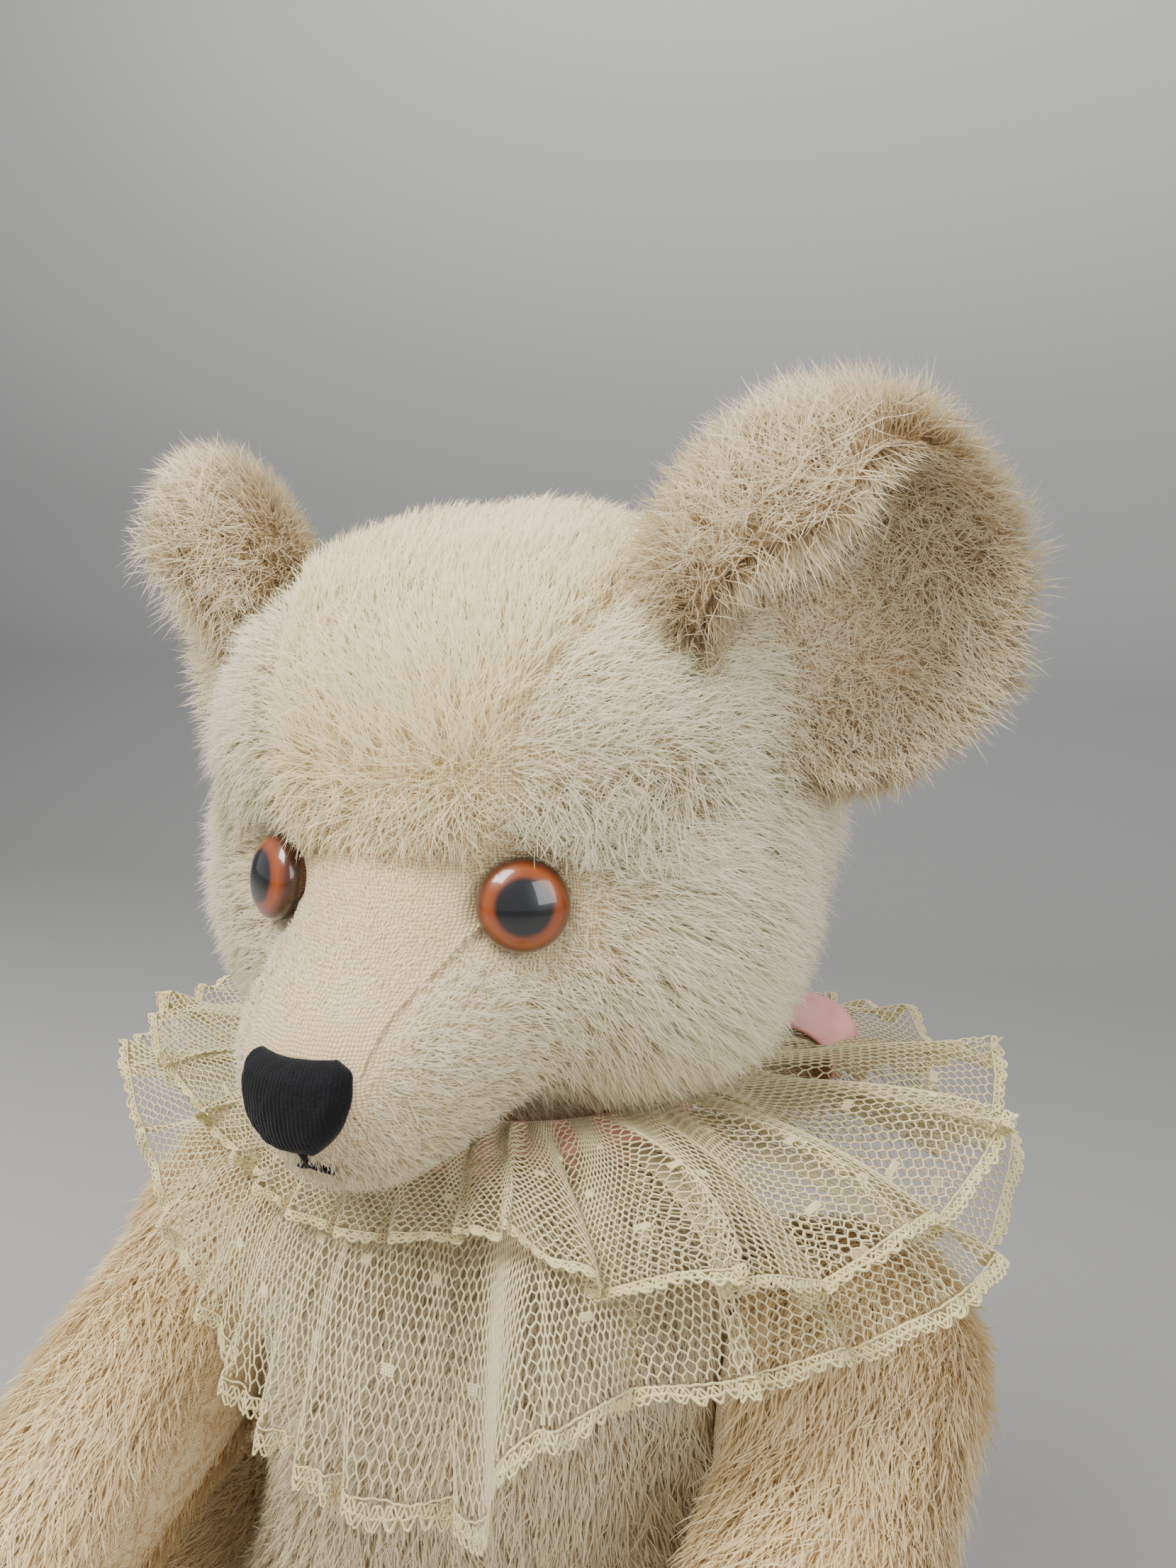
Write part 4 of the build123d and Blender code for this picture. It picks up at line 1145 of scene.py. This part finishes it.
nq = np.stack([nidx[:-1, :-1], nidx[:-1, 1:], nidx[1:, 1:], nidx[1:, :-1]], -1).reshape(-1, 4)
seat(new_mesh("nose_satin_stitch", nv, nq), "head", BLACK_THREAD, replaces=("nose_stitching",))

MOUTH_THREAD_R = 0.45
mouth_x = [(0.0, 152.6), (0.0, 151.2), (0.0, 149.8), (0.0, 148.4)]
threads_v, threads_g, offset = [], [], 0
lines = [mouth_x]
for s in (-1, 1):
    lines.append([(s * (0.2 + 2.6 * t), 148.6 - 1.7 * t + 0.4 * t * t) for t in np.linspace(0, 1, 7)])
for line in lines:
    xs, zs = np.array(line).T
    fine = np.linspace(0, len(xs) - 1, 24)
    xs, zs = np.interp(fine, range(len(xs)), xs), np.interp(fine, range(len(zs)), zs)
    p = muzzle_front(xs, zs)
    p = p + gradient(upright_head, p) * 0.25
    v, quads = rope(tilt(p), MOUTH_THREAD_R)
    threads_v.append(v)
    threads_g.append(quads + offset)
    offset += len(v)
mouth = new_mesh("mouth_thread", np.concatenate(threads_v), np.concatenate(threads_g))
seat(mouth, "head", BLACK_THREAD, replaces=("mouth_stitch",))


# ---------------------------------------------------------------- pads
def suede(name, light, dark):
    return mottled(name, dark, light, (0.6, 6.0), (9.0, 3.0), (0.35, 0.65), (0.4, 0.0002),
                   Roughness=0.95, Sheen_Weight=0.6, Sheen_Roughness=0.5, Specular_IOR_Level=0.15)


SUEDE = suede("felt_pad", (0.27, 0.165, 0.075), (0.18, 0.105, 0.045))


def pad_mesh(name, field, middle, e1, e2, out, r1, r2, lift):
    """Cloth pad laid on a field's surface, an ellipse seen along out."""
    rings, segs = 26, 72
    s = np.linspace(0, 1, rings)[:, None]
    a = np.linspace(0, 2 * np.pi, segs, endpoint=False)[None]
    flat = middle + e1 * (r1 * s * np.cos(a))[..., None] + e2 * (r2 * s * np.sin(a))[..., None]
    start = (flat - out * 4.0).reshape(-1, 3)
    hit = cast(field, start, np.tile(out, (len(start), 1)), 30.0)
    n = gradient(field, hit)
    rise = lift * np.sqrt(np.clip((1 - np.broadcast_to(s, (rings, segs)).ravel()) * 6, 0, 1)) - 0.05
    verts = hit + n * rise[:, None]
    return merged_caps(verts, ring_faces(rings, segs))


paw = pad_mesh("paw", arm_field, arm_point(0, -6, 84), np.array([1.0, 0, 0]), ARM_ALONG, -ARM_UP, 8.3, 12.8, 0.9)
sole = pad_mesh("sole", leg_field, np.array([LEG_X, -112.0, 33.0]), np.array([1.0, 0, 0]), np.array([0, 0, 1.0]),
                np.array([0, -1.0, 0]), 13.0, 22.0, 0.9)
for sign, which in ((1, "left"), (-1, "right")):
    flip = np.array([sign, 1.0, 1.0])
    for (verts, groups), pad, limb in ((paw, "paw_pad", "arm"), (sole, "foot_pad", "leg")):
        node = f"{which}_{pad}"
        g = groups if sign > 0 else [x[:, ::-1] for x in groups]
        seat(new_mesh(f"{node}_suede", verts * flip, g), f"{which}_{limb}", SUEDE, replaces=(node,))


# ---------------------------------------------------------------- joint hardware
def metal(name, colour, rough, scale):
    return mottled(name, tuple(c * 0.8 for c in colour), colour, (scale, 4.0), bump=(0.2, 0.0001),
                   Metallic=1.0, Roughness=rough)


ZINC = metal("zinc_steel", (0.62, 0.63, 0.65), 0.35, 1.5)
WIRE = metal("steel_wire", (0.50, 0.49, 0.47), 0.3, 3.0)
BOARD = suede("hardboard", (0.36, 0.22, 0.12), (0.22, 0.12, 0.06))
for ob in list(bpy.data.objects):
    if ob.type != "MESH" or "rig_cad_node" not in ob:
        continue
    word = ob.name
    if "disc" in word:
        recolour(ob, BOARD)
    elif any(k in word for k in ("bolt", "nut", "washer")):
        recolour(ob, ZINC)
    elif "loop" in word:
        recolour(ob, WIRE)


# ---------------------------------------------------------------- ruff
NET_PITCH = 1.55
THREAD_R = 0.15
LACE_WIDTH = 46.0


def lace_material(name, light, dark):
    return mottled(name, dark, light, (1.5, 3.0), (14.0, 2.0), bump=(0.4, 0.00008),
                   Roughness=0.7, Sheen_Weight=0.3, Sheen_Roughness=0.5)


LACE = lace_material("cotton_net", (0.82, 0.72, 0.43), (0.66, 0.55, 0.29))
PICOT = lace_material("picot_thread", (0.86, 0.75, 0.40), (0.70, 0.58, 0.27))

# Hem by angle from the front towards the bear's left: angle, distance from the neck line, height
LOWER_HEM = [
    (-180, 60, 125), (-135, 63, 127), (-100, 66, 127), (-78, 64, 129), (-62, 58, 131), (-48, 54, 128), (-38, 51, 117),
    (-26, 49, 106), (-12, 50, 99), (2, 51, 96), (15, 53, 95.5), (23, 56, 98), (30, 60, 111), (38, 58, 114),
    (50, 58, 113),
    (62, 63, 115.5), (76, 68, 117), (92, 70, 119), (108, 68, 121), (130, 64, 123), (155, 61, 125), (180, 60, 125),
]
UPPER_HEM = [
    (-180, 48, 125), (-162, 51, 126), (-145, 56, 129), (-128, 60, 132), (-95, 61, 134), (-70, 56, 134),
    (-50, 47, 131), (-32, 43, 127), (-14, 42, 124), (0, 42, 124),
    (12, 43, 126), (22, 47, 129.5), (32, 52, 128.5), (45, 57, 125.5), (60, 61, 124.5), (76, 64, 126),
    (92, 67, 129), (108, 68, 132), (125, 64, 132), (145, 57, 129), (162, 51, 126), (180, 48, 125),
]
LOWER_FOLDS = [
    (-180, 3.6), (-110, 4.2), (-70, 4.0), (-48, 2.2), (-30, 1.0), (0, 0.9), (14, 1.6), (24, 6.5), (34, 8.0), (48, 7.0),
    (70, 6.0), (100, 5.6), (140, 5.0), (180, 4.4),
]
UPPER_FOLDS = [
    (-180, 3.4), (-110, 3.8), (-70, 3.4), (-40, 2.0), (-12, 1.0), (10, 1.8), (24, 6.0), (40, 6.6), (60, 5.6), (90, 5.6),
    (130, 5.0), (180, 4.2),
]


class Frill:
    """One gathered row of net. around is in degrees from the front, down is 0 at the neck and 1 at the hem."""

    def __init__(self, hem, folds, neck, lift, count, seed):
        self.hem, self.folds, self.neck, self.lift = hem, folds, neck, lift
        self.count, self.seed = count, seed
        self.fine = np.linspace(-180.0, 180.0, 7201)
        edge = self.point(self.fine, np.ones_like(self.fine))
        steps = np.linalg.norm(np.diff(edge, axis=0), axis=1)
        self.run = np.concatenate([[0], np.cumsum(steps)])
        self.length = float(self.run[-1])

    def base(self, around, down):
        table = curve_value(self.hem, around)
        r_hem, z_hem = table[:, 0], table[:, 1]
        r0, z0 = self.neck
        drop = z0 - z_hem
        t = down
        shoulder_r = lerp(r0, r_hem, 0.62) + 3.0 * np.clip(drop / 25, 0, 1)
        shoulder_z = z0 + self.lift - 0.10 * drop
        r = (1 - t) ** 2 * r0 + 2 * t * (1 - t) * shoulder_r + t * t * r_hem
        z = (1 - t) ** 2 * z0 + 2 * t * (1 - t) * shoulder_z + t * t * z_hem
        th = np.radians(around)
        return np.stack([r * np.sin(th), -r * np.cos(th), z], -1)

    def point(self, around, down):
        e = 0.4
        mid = self.base(around, down)
        along = unit(self.base(around + e, down) - self.base(around - e, down))
        out = unit(self.base(around, np.clip(down + 0.02, 0, 1)) - self.base(around, np.clip(down - 0.02, 0, 1)))
        n = unit(np.cross(out, along))
        n = n * np.sign(n[:, 2:3] + 0.35 * (-mid[:, 1:2] / 60) + 1e-6)
        amp = curve_value(self.folds, around)[:, 0]
        th = np.radians(around)
        s = self.seed
        phase = self.count * th + 0.75 * np.sin(2 * th + s) + 0.55 * np.sin(5 * th + 2.1 * s)
        phase = phase + 0.30 * np.sin(9 * th + s)
        size = amp * (0.80 + 0.30 * np.sin(3 * th + 1.7 * s) + 0.22 * np.sin(7 * th + s))
        grow_out = smoothstep(0.0, 1.0, down) ** 0.8
        phase = phase + 0.35 * np.sin(3.0 * down + 4 * th)
        wave = np.sin(phase) + 0.22 * np.sin(2 * phase + 1.0)
        small = 0.5 * np.sin(3.1 * phase + s) * (1 - down) * smoothstep(0.0, 0.2, down)
        lean = 0.62 * np.sin(2 * phase)
        p = mid + n * (size * grow_out * wave + small)[:, None]
        p = p + along * (size * grow_out * lean)[:, None]
        curl = smoothstep(0.70, 1.0, down) * (1.3 * np.sin(2.3 * phase + s) + 0.9 * np.sin(4.7 * phase + 2 * s))
        return p + n * curl[:, None]

    def place(self, u, v):
        """Point on the frill for a spot on the flat lace: u along its hem, v down from the neck edge, in mm."""
        around = np.interp(np.clip(u, 0, self.length), self.run, self.fine)
        return self.point(around, np.clip(v / LACE_WIDTH, 0.0, 1.04))

    def angle(self, u):
        return np.interp(u, self.run, self.fine)


def net_threads(frill, seed):
    """Hexagonal net: three threads a cell, as point pairs on the flat lace."""
    r = np.random.default_rng(seed)
    px, py = NET_PITCH * 0.94, NET_PITCH * 0.92
    cols, rows = int(frill.length / px), int((LACE_WIDTH - 1.2) / py)
    i, j = np.meshgrid(np.arange(cols), np.arange(rows), indexing="ij")
    u = (i + 0.5 * (j % 2)) * px
    v = j * py
    jit = lambda: r.normal(size=u.shape) * 0.055
    top = np.stack([u + jit(), v + py / 6 + jit()], -1)
    low = np.stack([u + jit(), v + py * 0.62 + jit()], -1)
    start, stop = [top.reshape(-1, 2)], [low.reshape(-1, 2)]
    odd = j[:, :-1] % 2
    ahead = np.where(odd == 1, i[:, :-1] + 1, i[:, :-1])
    behind = ahead - 1
    for other in (ahead, behind):
        ok = (other >= 0) & (other < cols)
        start.append(low[:, :-1][ok])
        stop.append(top[np.clip(other, 0, cols - 1)[ok], (j[:, :-1] + 1)[ok]])
    return np.concatenate(start), np.concatenate(stop)


def hem_threads(frill):
    """Dense picot edge: two straight threads and three looped ones, as point pairs on the flat lace."""
    start, stop = [], []
    n = int(frill.length / 0.34)
    u = np.linspace(0, frill.length, n)
    rows = [
        (LACE_WIDTH - 1.75, 0.06, 1.9, 0.0), (LACE_WIDTH - 1.0, 0.62, 1.7, 0.0), (LACE_WIDTH - 1.0, 0.62, 1.7, 2.1),
        (LACE_WIDTH - 0.45, 0.10, 2.4, 1.0), (LACE_WIDTH - 0.05, 0.62, 2.1, 0.5), (LACE_WIDTH - 0.1, 0.60, 2.3, 3.3),
    ]
    for v0, swing, pace, phase in rows:
        v = v0 + swing * np.sin(2 * np.pi * u / pace + phase)
        v = v + 0.35 * np.sin(2 * np.pi * u / 9.2) * (v0 > LACE_WIDTH - 1.5)
        line = np.stack([u, v], -1)
        start.append(line[:-1])
        stop.append(line[1:])
    return np.concatenate(start), np.concatenate(stop)


def dot_threads(frill, seed):
    """Small woven dots scattered on the net, each a few short close threads."""
    r = np.random.default_rng(seed)
    start, stop = [], []
    for row, v0 in enumerate((11.0, 22.0, 33.0)):
        u0 = np.arange(6.0 + 8.5 * (row % 2), frill.length - 6, 17.0)
        u0 = u0 + r.normal(size=len(u0)) * 1.0
        for du in (-0.45, -0.15, 0.15, 0.45):
            start.append(np.stack([u0 - 1.2, v0 + du + 0 * u0], -1))
            stop.append(np.stack([u0 + 1.2, v0 + du + 0.08 + 0 * u0], -1))
        for du in (-0.9, -0.3, 0.3, 0.9):
            start.append(np.stack([u0 + du, v0 - 0.6 + 0 * u0], -1))
            stop.append(np.stack([u0 + du + 0.2, v0 + 0.6 + 0 * u0], -1))
    return np.concatenate(start), np.concatenate(stop)


def lace_piece(name, frill, threads, radius, keep, material):
    a, b = threads
    chosen = keep(frill.angle((a[:, 0] + b[:, 0]) / 2))
    a, b = a[chosen], b[chosen]
    pa, pb = frill.place(a[:, 0], a[:, 1]), frill.place(b[:, 0], b[:, 1])
    long = np.linalg.norm(pb - pa, axis=1)
    fine = (long > 0.02) & (long < 4.0)
    d = unit(pb - pa)
    v, q = tube_net(pa[fine] - d[fine] * 0.05, pb[fine] + d[fine] * 0.05, radius)
    ob = new_mesh(name, v, q)
    ob.data.materials.append(material)
    return ob


PARTS = {
    "front_left": (lambda t: (t >= 0) & (t < 75), 1),
    "back_left": (lambda t: t >= 75, 1),
    "front_right": (lambda t: (t < 0) & (t > -75), -1),
    "back_right": (lambda t: t <= -75, -1),
}
lower = Frill(LOWER_HEM, LOWER_FOLDS, (26.4, 129.0), 2.0, 15, 0.7)
upper = Frill(UPPER_HEM, UPPER_FOLDS, (26.8, 134.0), 1.0, 17, 2.3)
for layer, frill, node in (("lower", lower, "ruff_lower_lace"), ("upper", upper, "ruff_upper_lace")):
    net, hem, dots = net_threads(frill, 7), hem_threads(frill), dot_threads(frill, 9)
    for part, (keep, sign) in PARTS.items():
        body = lace_piece(f"ruff_{layer}_{part}", frill, net, THREAD_R, keep, LACE)
        edge = lace_piece(f"ruff_{layer}_{part}_hem", frill, hem, THREAD_R * 1.3, keep, PICOT)
        dot = lace_piece(f"ruff_{layer}_{part}_dots", frill, dots, THREAD_R * 1.4, keep, LACE)
        for ob in (body, edge, dot):
            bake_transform(ob)
        share = float(np.mean(keep(frill.angle(np.linspace(0, frill.length, 4000)))))
        if part == "front_left":
            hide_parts(node)


# ---------------------------------------------------------------- neck ribbon and bow
def satin(name, light, dark):
    m = Nodes(name)
    v = m.coords()
    n = m.noise(v, 0.25, 2.0)
    weft = m.add("ShaderNodeTexWave", wave_type="BANDS", bands_direction="Z", Scale=3.2, Distortion=0.4)
    m.link(v, weft.inputs["Vector"])
    m.paint(m.ramp(n.outputs["Fac"], [(0.3, dark), (0.7, light)]))
    m.put(Roughness=0.38, Sheen_Weight=0.3, Sheen_Roughness=0.35, Anisotropic=0.5)
    m.bump(weft.outputs["Fac"], 0.25, 0.0001)
    return m.mat


SATIN = satin("satin_ribbon", (0.93, 0.44, 0.40), (0.82, 0.33, 0.31))


def ribbon_mesh(name, path, across, width, thick=0.35, cup=0.5):
    """Strip of ribbon along a path, with its width direction at each point."""
    path, across = np.asarray(path, float), unit(across)
    n = len(path)
    t = unit(np.gradient(path, axis=0))
    nn = unit(np.cross(t, across))
    w = np.linspace(-1, 1, 9)
    face = []
    for side in (1, -1):
        row = path[:, None] + across[:, None] * (w * width / 2)[None, :, None]
        row = row + nn[:, None] * (cup * (w**2 - 0.5) + side * thick / 2)[None, :, None]
        face.append(row)
    loop = np.concatenate([face[0], face[1][:, ::-1]], 1)
    m = loop.shape[1]
    idx = np.arange(n * m).reshape(n, m)
    q = np.stack([idx[:-1], np.roll(idx[:-1], -1, 1), np.roll(idx[1:], -1, 1), idx[1:]], -1).reshape(-1, 4)
    ends = np.stack([idx[0][::-1], idx[-1]])
    return new_mesh(name, loop.reshape(-1, 3), [q, ends])


turn = np.linspace(0, 2 * np.pi, 181)
wrap = 0.35 * np.sin(5 * turn)
neck_path = np.stack([(25.0 + 0.25 * wrap) * np.sin(turn), (25.0 + 0.25 * wrap) * np.cos(turn), 129.2 + 0.3 * wrap], -1)
band = ribbon_mesh("ribbon_band", neck_path, np.tile([0, 0, 1.0], (len(turn), 1)), 7.8)
seat(band, "torso", SATIN, replaces=("neck_ribbon",))

for s in (-1, 1):
    k = np.linspace(0, 1, 90)
    swing = 2 * np.pi * k
    reach = 39.0 * np.sin(swing / 2) ** 0.9
    path = np.stack([
        s * (2.5 + reach),
        31.5 + 2.0 * np.sin(swing / 2) - 0.006 * reach**2,
        130.5 + 5.5 * np.sin(swing) * (0.55 + 0.45 * np.sin(swing / 2)) + 0.02 * reach,
    ], -1)
    across = np.tile([0.12 * s, 1.0, 0.25], (len(k), 1))
    loop = ribbon_mesh(f"bow_loop_{'left' if s > 0 else 'right'}", path, across, 10.0, 0.35, 0.8)
    seat(loop, "torso", SATIN)
    k = np.linspace(0, 1, 50)
    tail = np.stack([
        s * (2.0 + 9.0 * k + 1.2 * np.sin(5 * k)),
        33.5 + 9.5 * k - 2 * k**2,
        129.5 - 1.5 * k - 8.5 * k**2 + 0.8 * np.sin(6 * k),
    ], -1)
    across = np.tile([1.0, -0.35 * s, 0.1], (len(k), 1))
    strip = ribbon_mesh(f"bow_tail_{'left' if s > 0 else 'right'}", tail, across, 9.2)
    seat(strip, "torso", SATIN)
k = np.linspace(0, 1, 60)
knot_path = np.stack([0 * k, 33.0 - 3.4 * np.cos(2 * np.pi * k), 131.2 + 3.4 * np.sin(2 * np.pi * k)], -1)
knot = ribbon_mesh("bow_knot", knot_path, np.tile([1.0, 0, 0], (len(k), 1)), 6.5, 0.5, 0.9)
seat(knot, "torso", SATIN, replaces=("ribbon_bow",))


# ---------------------------------------------------------------- floor, light and camera
def paper(name):
    """Pale seamless paper, a little darker along the sweep behind the bear: painted shade."""
    m = Nodes(name)
    tex = m.add("ShaderNodeTexCoord")
    sep = m.add("ShaderNodeSeparateXYZ")
    m.link(tex.outputs["Object"], sep.inputs["Vector"])
    total = m.add("ShaderNodeMath", operation="ADD")
    m.link(sep.outputs["Y"], total.inputs[0])
    m.link(sep.outputs["Z"], total.inputs[1])
    span = m.add("ShaderNodeMapRange")
    m.link(total.outputs[0], span.inputs["Value"])
    span.inputs["From Min"].default_value = -0.4
    span.inputs["From Max"].default_value = 1.6
    # Painted shade: darker along the sweep, lighter on the floor in front and higher up the wall.
    shade = m.ramp(span.outputs["Result"], [
        (0.15, (0.40, 0.39, 0.375)), (0.38, (0.22, 0.22, 0.215)), (0.62, (0.19, 0.19, 0.19)),
        (0.92, (0.50, 0.50, 0.49)),
    ])
    n = m.noise(tex.outputs["Object"], 400.0, 2.0)
    grain = m.ramp(n.outputs["Fac"], [(0.3, (0.97, 0.97, 0.97)), (0.7, (1, 1, 1))])
    m.paint(m.mix(shade, grain, 0.5, "MULTIPLY"))
    m.put(Roughness=0.9, Specular_IOR_Level=0.2)
    return m.mat


def backdrop():
    profile = [(-9000, 0), (500, 0)]
    for k in range(1, 13):
        a = math.pi / 2 * k / 12
        profile.append((500 + 260 * math.sin(a), 260 - 260 * math.cos(a)))
    profile.append((760, 6000))
    xs = np.linspace(-6000, 6000, 2)
    rows = np.array([[(x, y, z) for x in xs] for y, z in profile])
    n = len(profile)
    idx = np.arange(n * 2).reshape(n, 2)
    q = np.stack([idx[:-1, 0], idx[:-1, 1], idx[1:, 1], idx[1:, 0]], 1)
    ob = new_mesh("studio_floor", rows.reshape(-1, 3) - np.array([0, 0, 0.05]), q)
    ob.data.materials.append(paper("studio_paper"))


backdrop()


def area_light(name, place, target, size, power, colour):
    data = bpy.data.lights.new(name, "AREA")
    data.shape = "RECTANGLE"
    data.size, data.size_y = size
    data.energy = power
    data.color = colour
    ob = linked(name, data)
    ob.location = Vector(place)
    ob.rotation_euler = (Vector(target) - Vector(place)).to_track_quat("-Z", "Y").to_euler()


FOCUS = (0.0, 0.0, 0.16)
area_light("key", (-0.25, -0.55, 0.95), FOCUS, (0.50, 0.50), 15.0, (1.0, 0.98, 0.94))
area_light("side", (0.85, -0.35, 0.55), FOCUS, (0.6, 0.6), 5.5, (0.97, 0.98, 1.0))
area_light("back", (-0.30, 0.35, 1.10), FOCUS, (0.5, 0.5), 7.0, (1.0, 0.99, 0.97))

world = bpy.data.worlds.new("studio")
bpy.context.scene.world = world
world.use_nodes = True
world.node_tree.nodes["Background"].inputs["Color"].default_value = (0.80, 0.82, 0.86, 1)
world.node_tree.nodes["Background"].inputs["Strength"].default_value = 0.75

CAMERA_PLACE = np.array([88.0, -167.7, 204.5])
CAMERA_TURN, CAMERA_DROP = math.radians(24.8), math.radians(9.4)
ahead = np.array([
    -math.sin(CAMERA_TURN) * math.cos(CAMERA_DROP),
    math.cos(CAMERA_TURN) * math.cos(CAMERA_DROP),
    -math.sin(CAMERA_DROP),
])
right = unit(np.cross(ahead, [0, 0, 1.0]))
above = np.cross(right, ahead)
cam_data = bpy.data.cameras.new("photo_view")
cam_data.sensor_fit = "VERTICAL"
cam_data.sensor_height = 36.0
cam_data.lens = 30.95
cam_data.clip_start = 0.01
cam = linked("photo_view", cam_data)
cam.matrix_world = Matrix([
    [right[i], above[i], -ahead[i], CAMERA_PLACE[i] * MM] for i in range(3)
] + [[0, 0, 0, 1]])
bpy.context.scene.camera = cam
